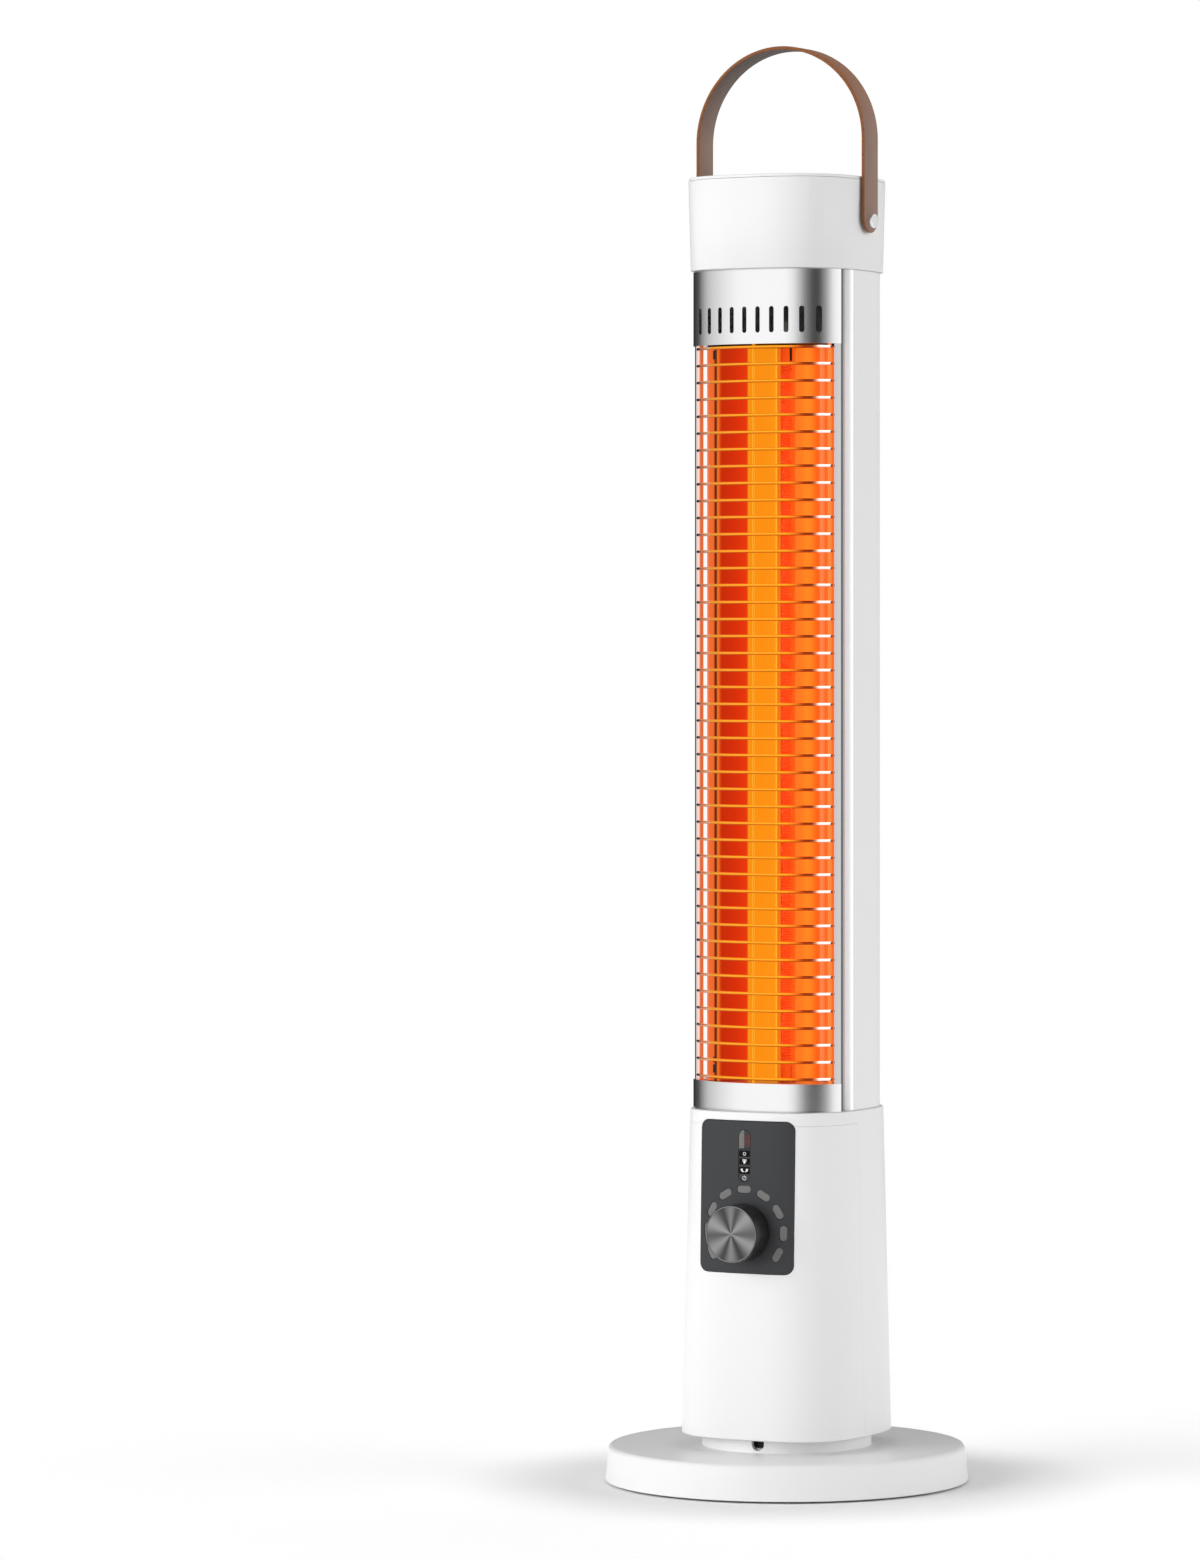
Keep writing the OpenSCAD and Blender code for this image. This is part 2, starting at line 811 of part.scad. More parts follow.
// The slot in which the stop pin ends the swing
module stop_slot() {
  gap = stop_pin_r + run_gap;
  a = swing_angle;
  translate([0, 0, turntable_z - overrun]) {
    rotate([0, 0, -90 - a])
      rotate_extrude(angle = 2 * a)
        translate([stop_ring_r - gap, 0]) square([2 * gap, turntable_t + 2 * overrun]);
    for (s = [-1, 1])
      rotate([0, 0, -90 + s * a])
        translate([stop_ring_r, 0, 0]) cylinder(r = gap, h = turntable_t + 2 * overrun);
  }
}

module turntable() {
  color("whitesmoke")
    difference() {
      union() {
        translate([0, 0, turntable_z])
          linear_extrude(turntable_t)
            polygon(housing_plan(turntable_top, housing_wall + seat_gap));
        translate([0, 0, turntable_z])
          cylinder(r = post_r + sleeve_wall, h = sleeve_top - turntable_z);
      }
      translate([0, 0, turntable_z - overrun])
        cylinder(r = post_r + run_gap, h = sleeve_top - turntable_z + 2 * overrun);
      stop_slot();
      turntable_boss_places()
        translate([0, 0, turntable_z - overrun]) {
          cylinder(d = screw_d + seat_gap, h = turntable_t + 2 * overrun);
          cylinder(d = screw_head_d + seat_gap, h = screw_head_h + overrun);
        }
    }
}

module turntable_screws() {
  color("gray")
    turntable_boss_places()
      translate([0, 0, turntable_z + screw_head_h]) screw(screw_bite);
}

module motor_bracket() {
  leg_t = motor_plate_t;
  plate_z = motor_z - motor_plate_t;
  color("silver")
    difference() {
      union() {
        translate([-bracket_w / 2, pinion_offset - motor_d / 2, plate_z])
          cube([bracket_w, motor_d, motor_plate_t]);
        for (s = [-1, 1])
          translate([s * (bracket_w - leg_t) / 2 - leg_t / 2, pinion_offset, turntable_top])
            cube([leg_t, motor_d / 2, motor_z - turntable_top]);
      }
      translate([0, pinion_offset, plate_z - overrun])
        cylinder(r = motor_boss_r + seat_gap, h = motor_plate_t + 2 * overrun);
    }
}

module swing_motor() {
  color("silver")
    translate([0, pinion_offset, 0])
      difference() {
        union() {
          translate([0, 0, motor_z]) cylinder(d = motor_d, h = motor_h);
          translate([0, 0, motor_z - motor_plate_t]) cylinder(r = motor_boss_r, h = 2 * motor_plate_t);
        }
        translate([0, 0, motor_z - motor_plate_t - overrun])
          cylinder(r = motor_shaft_r + run_gap, h = motor_h / 2 + motor_plate_t);
      }
}

module motor_shaft() {
  color("silver")
    translate([0, pinion_offset, gear_z + (gear_h - pinion_h) / 2])
      cylinder(r = motor_shaft_r, h = motor_z + motor_h / 3 - gear_z);
}

module motor_pinion() {
  color("ivory")
    translate([0, pinion_offset, gear_z + (gear_h - pinion_h) / 2])
      difference() {
        rotate([0, 0, 90 + 180 / pinion_teeth]) linear_extrude(pinion_h) polygon(wheel(pinion_teeth));
        translate([0, 0, -overrun])
          cylinder(r = motor_shaft_r + run_gap / 5, h = pinion_h + 2 * overrun);
      }
}

// Lower housing

module housing_skin() {
  top = housing_top;
  e = housing_edge;
  w = housing_wall;
  loft_wall([
    [housing_z, housing_plan(housing_z, e)],
    [housing_z + e / 3, housing_plan(housing_z, e / 3)],
    [housing_z + e, housing_plan(housing_z + e)],
    [top - e / 3, housing_plan(top - e / 3)],
    [top, housing_plan(top, e / 3)],
    [top, housing_plan(top, w)],
    [housing_z, housing_plan(housing_z, w)]
  ]);
}

module front_zone(gap) {
  translate([-foot_half_w - overrun, -foot_front - overrun, housing_z - overrun])
    cube([
      2 * (foot_half_w + overrun), foot_front + overrun + seam_y - gap,
      seam_z - gap - housing_z + overrun
    ]);
}

module corner_bosses() {
  turntable_boss_places() ribbed_boss(turntable_top, turntable_top + boss_h);
  column_screw_places() ribbed_boss(floor_z - boss_h, floor_z);
}

// What lies within the housing's walls, to trim the bosses by
module housing_inside(inset) {
  loft([
    [housing_z - overrun, housing_plan(housing_z, inset)],
    [housing_top + overrun, housing_plan(housing_top, inset)]
  ]);
}

module lower_rear_shell() {
  color("white")
    difference() {
      union() {
        housing_skin();
        difference() {
          intersection() {
            corner_bosses();
            housing_inside(housing_wall / 2);
          }
          front_zone(0);
        }
        power_board_places()
          along_y(power_y + board_t, housing_b(power_z + power_h, housing_wall / 2))
            circle(d = power_post_d);
      }
      front_zone(0);
      power_board_places()
        along_y(power_y, power_y + board_t + screw_bite)
          circle(r = screw_d / 2 + run_gap);
      for (x = [-1, 1], z = shell_screw_zs)
        translate([x * shell_screw_x, 0, z]) {
          along_y(-overrun, 2 * foot_back) circle(d = screw_d + seat_gap);
          along_y(shell_screw_seat(z), 2 * foot_back) circle(d = screw_head_d + seat_gap);
        }
      panel_recess();
    }
}

// How far back the heads of the shell screws rest
function shell_screw_seat(z) = back_y(shell_screw_x, z) - shell_screw_sink;

module lower_front_shell() {
  color("white")
    difference() {
      intersection() {
        union() {
          housing_skin();
          intersection() {
            corner_bosses();
            housing_inside(housing_wall / 2);
          }
        }
        front_zone(part_gap);
      }
      panel_recess();
      translate([0, 0, panel_mid_z])
        along_y(-2 * foot_front, seam_y)
          rounded_rect(panel_w - 2 * panel_lap, panel_h - 2 * panel_lap, panel_r - panel_lap / 2);
    }
}

// Long screws that run from the back and draw the two shells together
module shell_screws() {
  color("gray")
    for (x = [-1, 1], z = shell_screw_zs)
      translate([x * shell_screw_x, shell_screw_seat(z), z])
        rotate([90, 0, 0]) screw(shell_boss_l);
}

// Control panel

function front_y(x, z, out) =
  curve_y(x, housing_w(z, -out), housing_f(z, -out), plan_power);

// A patch of the housing's front between two offsets from its surface
module panel_skin(out, back) {
  m = panel_steps;
  zs = [for (i = [0 : 2]) panel_mid_z + (i - 1) * (panel_h / 2 + overrun)];
  reach = panel_w / 2 + overrun;
  xs = [for (i = [0 : m]) mix(-reach, reach, i / m)];
  n = 2 * (m + 1);
  points = [
    for (z = zs)
      each concat(
        [for (x = xs) [x, front_y(x, z, out), z]],
        [for (i = [m : -1 : 0]) [xs[i], front_y(xs[i], z, back), z]]
      )
  ];
  walls = [
    for (i = [0 : 1], j = [0 : n - 1])
      let (k = (j + 1) % n, a = i * n + j, b = i * n + k, c = b + n, d = a + n)
        each [[a, d, c], [a, c, b]]
  ];
  ends = [
    for (j = [0 : m - 1])
      let (k = n - 1 - j, top = 2 * n)
        each [
          [j, j + 1, k - 1], [j, k - 1, k],
          [top + j, top + k - 1, top + j + 1], [top + j, top + k, top + k - 1]
        ]
  ];
  polyhedron(points = points, faces = concat(walls, ends), convexity = 6);
}

module panel_prism(w, h, r) {
  intersection() {
    translate([0, 0, panel_mid_z]) along_y(-2 * foot_front, 0) rounded_rect(w, h, r);
    children();
  }
}

// The shallow bed in the two shells that the panel lies in
module panel_recess() {
  panel_prism(panel_w + 2 * part_gap, panel_h + 2 * part_gap, panel_r + part_gap)
    panel_skin(panel_proud + overrun, panel_proud - panel_t - part_gap);
}

module level_places() {
  for (i = [0 : level_count - 1])
    translate([0, 0, knob_z])
      rotate([0, (i - (level_count - 1) / 2) * level_step, 0])
        translate([0, 0, level_ring_r]) children();
}

module level_prisms(gap) {
  level_places() along_y(-2 * foot_front, -foot_front / 2) pill(level_l - 2 * gap, level_w - 2 * gap);
}

module receiver_prism(gap) {
  r = strip_w / 2 - gap;
  translate([0, 0, strip_top_z - strip_w / 2])
    along_y(-2 * foot_front, -foot_front / 2) {
      circle(r = r);
      translate([-r, -(receiver_h - strip_w / 2) + gap]) square([2 * r, receiver_h - strip_w / 2 - gap]);
    }
}

module icon_prism(gap) {
  r = strip_w / 2 - gap;
  translate([0, 0, strip_foot_z + strip_w / 2])
    along_y(-2 * foot_front, -foot_front / 2) {
      circle(r = r);
      translate([-r, 0]) square([2 * r, icon_h - strip_w / 2 - gap]);
    }
}

module panel_post_places() {
  for (x = [-1, 1], z = [-1, 1])
    translate([x * (board_w / 2 - panel_post_d), 0, panel_mid_z + z * (board_h / 2 - panel_post_d)])
      children();
}

function board_front() = front_y(0, knob_z, panel_proud - panel_t) + board_gap;

module control_panel() {
  color([0.24, 0.24, 0.25])
    difference() {
      union() {
        panel_prism(panel_w, panel_h, panel_r) panel_skin(panel_proud, panel_proud - panel_t);
        difference() {
          panel_post_places()
            along_y(front_y(0, knob_z, 0), board_front()) circle(d = panel_post_d);
          panel_prism(panel_w, panel_h, panel_r) panel_skin(4 * panel_t, panel_proud - panel_t / 2);
        }
      }
      level_prisms(0);
      receiver_prism(0);
      icon_prism(0);
      translate([0, 0, knob_z]) along_y(-2 * foot_front, board_front()) circle(r = panel_hole_r);
    }
}

module level_windows() {
  color([0.5, 0.5, 0.5])
    intersection() {
      level_prisms(window_gap);
      panel_skin(panel_proud, panel_proud - panel_t);
    }
}

module receiver_window() {
  color([0.3, 0.1, 0.1])
    intersection() {
      receiver_prism(window_gap);
      panel_skin(panel_proud, panel_proud - panel_t);
    }
}

module icon_window() {
  color("black")
    intersection() {
      icon_prism(window_gap);
      panel_skin(panel_proud, panel_proud - panel_t);
    }
}

module control_board() {
  color("darkgreen")
    translate([-board_w / 2, board_front(), panel_mid_z - board_h / 2])
      cube([board_w, board_t, board_h]);
}

module encoder_housing() {
  y = board_front();
  color("dimgray")
    translate([0, 0, knob_z])
      difference() {
        union() {
          translate([-encoder_w / 2, y - board_gap * 2 / 3, -encoder_w / 2])
            cube([encoder_w, board_gap * 2 / 3, encoder_w]);
          along_y(front_y(0, knob_z, panel_proud + knob_gap / 2), y - board_gap / 2)
            circle(r = encoder_bush_r);
        }
        along_y(-2 * foot_front, y + overrun) circle(r = sleeve_r + run_gap);
      }
}

module encoder_sleeve() {
  y = board_front();
  color("silver")
    translate([0, 0, knob_z])
      difference() {
        along_y(front_y(0, knob_z, panel_proud), y - seat_gap) circle(r = sleeve_r);
        along_y(-2 * foot_front, y + overrun) circle(r = knob_shaft_r + run_gap);
      }
}

function knob_back() = front_y(0, knob_z, panel_proud + knob_gap);
function knob_front() = front_y(0, knob_z, panel_proud + knob_reach);

module knob_shaft() {
  color("silver")
    translate([0, 0, knob_z])
      along_y(knob_front() + knob_wall + knob_face_t, board_front() - seat_gap - knob_travel)
        circle(r = knob_shaft_r);
}

module knob_body() {
  r = knob_d / 2;
  depth = knob_back() - knob_front();
  floor_d = knob_face_t + knob_wall;
  color([0.2, 0.2, 0.21])
    translate([0, knob_front(), knob_z])
      rotate([-90, 0, 0])
        rotate_extrude()
          polygon([
            [0, knob_face_t], [knob_face_r, knob_face_t], [knob_face_r, 0], [r - knob_bevel, 0],
            [r, knob_bevel], [r, depth - knob_bevel / 2], [r - knob_bevel / 2, depth],
            [r - knob_wall, depth], [r - knob_wall, floor_d], [knob_hub_r, floor_d],
            [knob_hub_r, depth - knob_gap], [knob_shaft_r + run_gap / 2, depth - knob_gap],
            [knob_shaft_r + run_gap / 2, floor_d], [0, floor_d]
          ]);
}

module knob_face() {
  color("silver")
    translate([0, knob_front(), knob_z])
      rotate([-90, 0, 0])
        rotate_extrude()
          polygon([
            [0, knob_face_t / 4], [knob_face_r / 2, knob_face_t / 8],
            [knob_face_r - run_gap, 0], [knob_face_r - run_gap, knob_face_t], [0, knob_face_t]
          ]);
}

// Boards at the back

module power_board_places() {
  mid_z = power_z + power_h / 2;
  for (x = [-1, 1], z = [-1, 1])
    translate([x * (power_w / 2 - power_post_d), 0, mid_z + z * (power_h / 2 - power_post_d)])
      children();
}

module power_board() {
  color("darkgreen")
    translate([-power_w / 2, power_y, power_z]) cube([power_w, board_t, power_h]);
}

module relays() {
  x0 = -power_w / 2 + power_post_d;
  color("black")
    for (i = [0, 1])
      translate([x0 + i * (relay_l + relay_w / 2), power_y - relay_h, power_z + power_h / 2])
        cube([relay_l, relay_h, relay_w]);
}

module tilt_switch() {
  color("white")
    translate([-tilt_w / 2, power_y - tilt_d, power_z + power_post_d]) cube([tilt_w, tilt_d, tilt_h]);
}

// Column

module column_floor() {
  color("silver")
    translate([0, 0, floor_z])
      difference() {
        linear_extrude(floor_t)
          polygon(housing_plan(housing_top, housing_wall + seat_gap / 2));
        translate([0, 0, -floor_z])
          column_screw_places()
            translate([0, 0, floor_z - overrun])
              cylinder(d = screw_d + seat_gap, h = floor_t + 2 * overrun);
        translate([0, mirror_back_y + 2 * cable_hole_r, -overrun])
          cylinder(r = cable_hole_r, h = floor_t + 2 * overrun);
      }
}

module floor_screws() {
  color("gray")
    column_screw_places() translate([0, 0, floor_top]) rotate([180, 0, 0]) screw(screw_bite);
}

module rear_housing() {
  t = column_wall;
  r = column_edge_r;
  edge = concat(
    [[column_half_w - flange_w, flange_y]],
    arc([column_half_w - r, flange_y + r], r, -90, 0)
  );
  vent_heights = concat(
    [for (i = [0 : vent_rows - 1]) housing_top + vent_inset + i * vent_pitch],
    [for (i = [1 : head_vent_rows]) cap_z - i * vent_pitch]
  );
  path = concat(edge, back_curve(column_half_w, column_back), mirrored(edge));
  color("white")
    difference() {
      translate([0, 0, floor_top]) linear_extrude(column_top - floor_top) polygon(sheet(path, t));
      for (z = vent_heights)
        translate([0, 0, z]) along_y(0, 2 * column_back) pill(vent_w, vent_h);
    }
}

module side_rails() {
  inner_x = rail_x + rail_t;
  inset = band_t + seat_gap;
  front = band_y(inner_x, inset);
  path = [
    for (i = [0 : rail_steps])
      let (x = mix(inner_x, rail_end_x, i / rail_steps)) [x, band_y(x, inset)]
  ];
  color("silver")
    for (s = [0, 1])
      mirror([s, 0, 0])
        translate([0, 0, floor_top])
          linear_extrude(column_top - floor_top) {
            polygon(sheet(path, rail_t));
            translate([rail_x, front]) square([rail_t, flange_y - seat_gap - front]);
          }
}

module band(z0, z1) {
  translate([0, 0, z0])
    linear_extrude(z1 - z0) polygon(sheet(band_curve(band_end_x), band_t));
}

module bottom_band() {
  color("silver") band(floor_top, bottom_band_top);
}

module top_band() {
  slot_z = top_band_foot + slot_lift + slot_h / 2;
  color("silver")
    difference() {
      band(top_band_foot, column_top);
      for (i = [0 : slot_count - 1])
        translate([(i - (slot_count - 1) / 2) * slot_pitch, 0, slot_z])
          along_y(-2 * band_front, 0) rotate([0, 0, 90]) pill(slot_h, slot_w);
    }
}

// A plate across the column, clear of the band, the rails and the rear housing
module deck(z, inset, t = plate_sheet_t) {
  side = rail_x - deck_side_gap;
  lip = column_half_w - column_wall - deck_side_gap;
  turn_y = flange_y + column_wall + deck_side_gap;
  translate([0, 0, z])
    linear_extrude(t)
      polygon(concat(
        band_curve(side, inset),
        [[side, turn_y], [lip, turn_y]],
        back_curve(lip, column_back - column_wall - deck_side_gap),
        [[-lip, turn_y], [-side, turn_y]]
      ));
}

module lower_deck() {
  color("silver")
    difference() {
      deck(lower_deck_z, band_t + deck_side_gap);
      translate([0, 0, lower_deck_z - overrun])
        cylinder(r = tube_r + seat_gap, h = plate_sheet_t + 2 * overrun);
    }
}

module upper_deck() {
  color("silver")
    difference() {
      deck(upper_deck_z, band_t + deck_side_gap);
      translate([0, 0, upper_deck_z - overrun])
        cylinder(r = tube_r + seat_gap, h = plate_sheet_t + 2 * overrun);
    }
}

module reflector() {
  lip = mirror_lip_y;
  crest = mirror_mouth_w + groove_crest;
  half = [
    [mirror_back_w, mirror_back_y], [mirror_fold_w, mirror_fold_y], [mirror_mouth_w, lip],
    [crest, lip], [crest, lip + groove_depth], [crest + groove_w, lip + groove_depth],
    [crest + groove_w, lip], [mirror_lip_x, lip]
  ];
  color("silver")
    translate([0, 0, mirror_foot])
      linear_extrude(mirror_head - mirror_foot)
        polygon(sheet(concat(mirrored(half), half), mirror_t));
}

module reflector_brackets() {
  y0 = mirror_back_y + mirror_t;
  w = mirror_back_w - bracket_t;
  y1 = -curve_y(w, column_half_w - column_wall, column_back - column_wall, plan_power);
  color("silver")
    for (s = bracket_share)
      translate([0, 0, mix(mirror_foot, mirror_head, s) - bracket_h / 2])
        linear_extrude(bracket_h) {
          translate([-w, y0]) square([2 * w, bracket_t]);
          for (x = [-1, 1])
            translate([x * (w - bracket_t / 2) - bracket_t / 2, y0])
              square([bracket_t, y1 - y0 - seat_gap]);
        }
}

module quartz_tube() {
  color([0.9, 0.9, 0.95, 0.4]) tube(tube_r, tube_r - tube_wall, tube_foot, tube_head);
}

// The middle of the coil's wire at a count of rings from its foot
function coil_point(i) =
  let (turn = 360 * i / coil_rings, rise = (coil_head - coil_foot) / (coil_curls * coil_rings))
    [coil_d / 2 * cos(turn), coil_d / 2 * sin(turn), coil_foot + rise * i];

coil_near = min([
  for (i = [0 : coil_rings - 1], j = [coil_rings / 2 : 2 * coil_rings])
    norm(coil_point(i) - coil_point(i + j))
]);
echo(coil_gap = coil_near - coil_wire_d);

module heating_coil() {
  n = coil_curls * coil_rings;
  r = coil_wire_d / 2;
  slope = atan((coil_head - coil_foot) / coil_curls / (PI * coil_d));
  points = [
    for (i = [0 : n])
      let (a = 360 * i / coil_rings, c = coil_point(i))
        for (j = [0 : coil_sides - 1])
          let (
            b = 360 * j / coil_sides,
            out = [cos(a), sin(a), 0],
            up = [sin(a) * sin(slope), -cos(a) * sin(slope), cos(slope)]
          )
          c + r * (cos(b) * out + sin(b) * up)
  ];
  color("orangered") ring_faces_solid(points, n + 1, coil_sides);
}

module coil_leads() {
  tail = lamp_end_h / 6;
  color([0.1, 0.1, 0.1])
    for (zs = [[tube_foot - tail, coil_foot], [coil_head, tube_head + tail]])
      translate([coil_d / 2, 0, zs[0] + (zs[0] == coil_head ? coil_wire_d : 0)])
        cylinder(r = lead_r, h = zs[1] - zs[0] - coil_wire_d);
}

module lamp_end() {
  difference() {
    cylinder(r = lamp_end_r, h = lamp_end_h);
    translate([0, 0, -overrun]) cylinder(r = tube_r + run_gap, h = tube_reach + overrun + run_gap);
    translate([coil_d / 2, 0, 0]) cylinder(r = lead_r + run_gap, h = lamp_end_h + overrun);
  }
}

module lamp_ends() {
  color("ivory") {
    translate([0, 0, upper_deck_top]) lamp_end();
    translate([0, 0, lower_deck_z]) mirror([0, 0, 1]) lamp_end();
  }
}

// Steel plates that clasp the ceramic ends to the decks
module lamp_clips() {
  color("silver")
    for (z = [upper_deck_top, lower_deck_z - clip_t])
      translate([0, 0, z])
        difference() {
          translate([-clip_w / 2, -lamp_end_r - clip_edge, 0])
            cube([clip_w, 2 * (lamp_end_r + clip_edge), clip_t]);
          translate([0, 0, -overrun]) cylinder(r = lamp_end_r + run_gap, h = clip_t + 2 * overrun);
        }
}

module thermal_cutout() {
  color("tan")
    translate([0, cutout_y, upper_deck_top]) {
      cylinder(r = cutout_r, h = cutout_h);
      for (s = [-1, 1])
        translate([s * cutout_r / 2, 0, cutout_h]) cylinder(r = cutout_r / 6, h = cutout_h / 2);
    }
}

// Guard

function wire_path() = [
  for (i = [0 : wire_bend_steps])
    let (x = mix(-wire_end_x, wire_end_x, i / wire_bend_steps)) [x, band_y(x, wire_inset)]
];

module guard_wires() {
  path = wire_path();
  n = len(path);
  ring = n * wire_sides;
  points = [
    for (k = [0 : wire_count - 1])
      let (z = wire_low_z + k * wire_pitch)
        for (i = [0 : n - 1])
          let (out = fold(path, i))
            for (j = [0 : wire_sides - 1])
              let (b = 360 * j / wire_sides, p = path[i] + wire_r * cos(b) * out)
                [p[0], p[1], z - wire_r * sin(b)]
  ];
  faces = [
    for (k = [0 : wire_count - 1])
      each concat(
        [
          for (i = [0 : n - 2], j = [0 : wire_sides - 1])
            let (
              m = (j + 1) % wire_sides, o = k * ring + i * wire_sides,
              a = o + j, b = o + m, c = b + wire_sides, d = a + wire_sides
            )
            each [[a, d, c], [a, c, b]]
        ],
        [[for (j = [0 : wire_sides - 1]) k * ring + j]],
        [[for (j = [wire_sides - 1 : -1 : 0]) k * ring + ring - wire_sides + j]]
      )
  ];
  color("silver") polyhedron(points = points, faces = faces, convexity = 10);
}

module guard_stays() {
  foot = lower_deck_top + seat_gap;
  head = upper_deck_z - seat_gap;
  color("silver")
    for (x = [-stay_end_x, 0, stay_end_x])
      translate([x, band_y(x, stay_inset), foot]) cylinder(r = stay_r, h = head - foot);
}

// Cap

module top_deck() {
  color("silver")
    difference() {
      translate([0, 0, top_deck_z])
        linear_extrude(top_deck_t) polygon(cap_plan(cap_z, cap_wall + seat_gap));
      column_screw_places()
        translate([0, 0, top_deck_z - overrun])
          cylinder(d = screw_d + seat_gap, h = top_deck_t + 2 * overrun);
    }
}

module cap_shell() {
  w = cap_wall;
  e = cap_edge;
  color("white")
    difference() {
      union() {
        loft_wall([
          [cap_z, cap_plan(cap_z, e)],
          [cap_z + e, cap_plan(cap_z + e)],
          [cap_rim - e, cap_plan(cap_rim - e)],
          [cap_rim, cap_plan(cap_rim, e / 2)],
          [cap_rim, cap_plan(cap_rim, w)],
          [cap_z, cap_plan(cap_z, w)]
        ]);
        intersection() {
          column_screw_places() ribbed_boss(top_deck_top, cap_boss_top);
          loft([
            [cap_z, cap_plan(cap_z, w / 2)],
            [cap_rim, cap_plan(cap_rim, w / 2)]
          ]);
        }
      }
      translate([0, 0, pivot_z])
        along_x(-2 * cap_half_w, 2 * cap_half_w) circle(r = rivet_d / 2 + run_gap);
    }
}

module cap_screws() {
  color("gray")
    column_screw_places() translate([0, 0, top_deck_z]) screw(screw_bite);
}

module cap_lid() {
  z0 = cap_rim + part_gap;
  e = lid_edge;
  skirt = cap_wall + part_gap;
  color("white") {
    loft([
      [z0, cap_plan(z0, part_gap)],
      [cap_top - e, cap_plan(cap_top - e, part_gap)],
      [cap_top - e / 3, cap_plan(cap_top, part_gap + e / 3)],
      [cap_top, cap_plan(cap_top, part_gap + e)]
    ]);
    translate([0, 0, z0 - lid_skirt_h])
      linear_extrude(lid_skirt_h + lid_t / 4)
        difference() {
          polygon(cap_plan(cap_z, skirt));
          polygon(cap_plan(cap_z, skirt + lid_skirt_t));
        }
  }
}

// Handle

function cap_side(z) = cap_half_w + cap_grow(z);

module both_sides() {
  for (s = [0, 1]) mirror([s, 0, 0]) translate([0, 0, pivot_z]) children();
}

module rivets() {
  head = strap_half_w + run_gap;
  plate_in = cap_side(pivot_z) - cap_wall - side_tilt_gap - rivet_plate_t;
  r = rivet_head_d / 2;
  color("silver")
    both_sides() {
      along_x(plate_in - rivet_tail_h, head + rivet_head_h / 2) circle(r = rivet_d / 2);
      along_x(plate_in - rivet_tail_h, plate_in) circle(r = rivet_d / 2 + rivet_tail_h);
      translate([head, 0, 0])
        rotate([0, 90, 0])
          rotate_extrude()
            polygon([
              [0, 0], [r, 0], [r, rivet_head_h - rivet_edge],
              [r - rivet_edge, rivet_head_h], [0, rivet_head_h]
            ]);
    }
}

module rivet_plates() {
  x1 = cap_side(pivot_z) - cap_wall - side_tilt_gap;
  color("silver")
    both_sides()
      along_x(x1 - rivet_plate_t, x1)
        difference() {
          circle(r = rivet_plate_r);
          circle(r = rivet_d / 2 + run_gap);
        }
}

module strap_washers() {
  color("black")
    both_sides()
      along_x(cap_side(pivot_z) + side_tilt_gap, strap_inner - seat_gap / 2)
        difference() {
          circle(r = washer_r);
          circle(r = rivet_d / 2 + run_gap);
        }
}

module strap_handle() {
  end_z = pivot_z - strap_tail + strap_w / 2;
  color("saddlebrown")
    difference() {
      union() {
        translate([0, 0, arch_z])
          rotate([90, 0, 0])
            rotate_extrude(angle = 180)
              translate([strap_inner, -strap_w / 2]) square([strap_t, strap_w]);
        for (s = [0, 1])
          mirror([s, 0, 0])
            along_x(strap_inner, strap_half_w) {
              translate([-strap_w / 2, end_z]) square([strap_w, arch_z - end_z]);
              translate([0, end_z]) circle(d = strap_w);
            }
      }
      translate([0, 0, pivot_z])
        along_x(-2 * strap_half_w, 2 * strap_half_w) circle(r = rivet_d / 2 + run_gap);
    }
}

base_cover();
base_plate();
ballast_weight();
rubber_feet();
base_screws();
cord_gland();
pivot_post();
post_screws();
swivel_collar();
glide_ring();
swing_gear();
retaining_nut();
turntable();
turntable_screws();
lower_rear_shell();
lower_front_shell();
shell_screws();
motor_bracket();
swing_motor();
motor_shaft();
motor_pinion();
control_panel();
level_windows();
receiver_window();
icon_window();
control_board();
encoder_housing();
encoder_sleeve();
knob_shaft();
knob_body();
knob_face();
power_board();
relays();
tilt_switch();
column_floor();
floor_screws();
rear_housing();
side_rails();
bottom_band();
top_band();
lower_deck();
upper_deck();
reflector();
reflector_brackets();
quartz_tube();
heating_coil();
coil_leads();
lamp_ends();
lamp_clips();
thermal_cutout();
guard_wires();
guard_stays();
top_deck();
cap_shell();
cap_screws();
cap_lid();
rivets();
rivet_plates();
strap_washers();
strap_handle();
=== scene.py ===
"""Looks of the tower patio heater: smooth casings, brushed steel, a wire guard and a glowing lamp."""

import json
import math

import bmesh
import bpy
from mathutils import Matrix, Vector


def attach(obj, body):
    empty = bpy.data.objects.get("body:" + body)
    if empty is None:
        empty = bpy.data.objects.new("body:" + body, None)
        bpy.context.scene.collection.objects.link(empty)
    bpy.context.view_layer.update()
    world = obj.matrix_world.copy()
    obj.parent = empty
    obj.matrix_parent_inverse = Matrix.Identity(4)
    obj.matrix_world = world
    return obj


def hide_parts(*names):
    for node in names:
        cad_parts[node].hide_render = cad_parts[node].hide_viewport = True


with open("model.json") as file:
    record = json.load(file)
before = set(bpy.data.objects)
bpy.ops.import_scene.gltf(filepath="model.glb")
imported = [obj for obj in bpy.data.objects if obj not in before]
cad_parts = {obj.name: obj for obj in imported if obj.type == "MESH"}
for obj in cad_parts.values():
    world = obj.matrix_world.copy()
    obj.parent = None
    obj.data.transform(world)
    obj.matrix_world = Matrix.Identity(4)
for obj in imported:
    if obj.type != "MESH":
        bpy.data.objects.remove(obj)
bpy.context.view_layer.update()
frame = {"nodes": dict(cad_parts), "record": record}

# Sizes and heights in millimetres, as on the drawing
MM = 0.001
BASE_TOP = 24.5
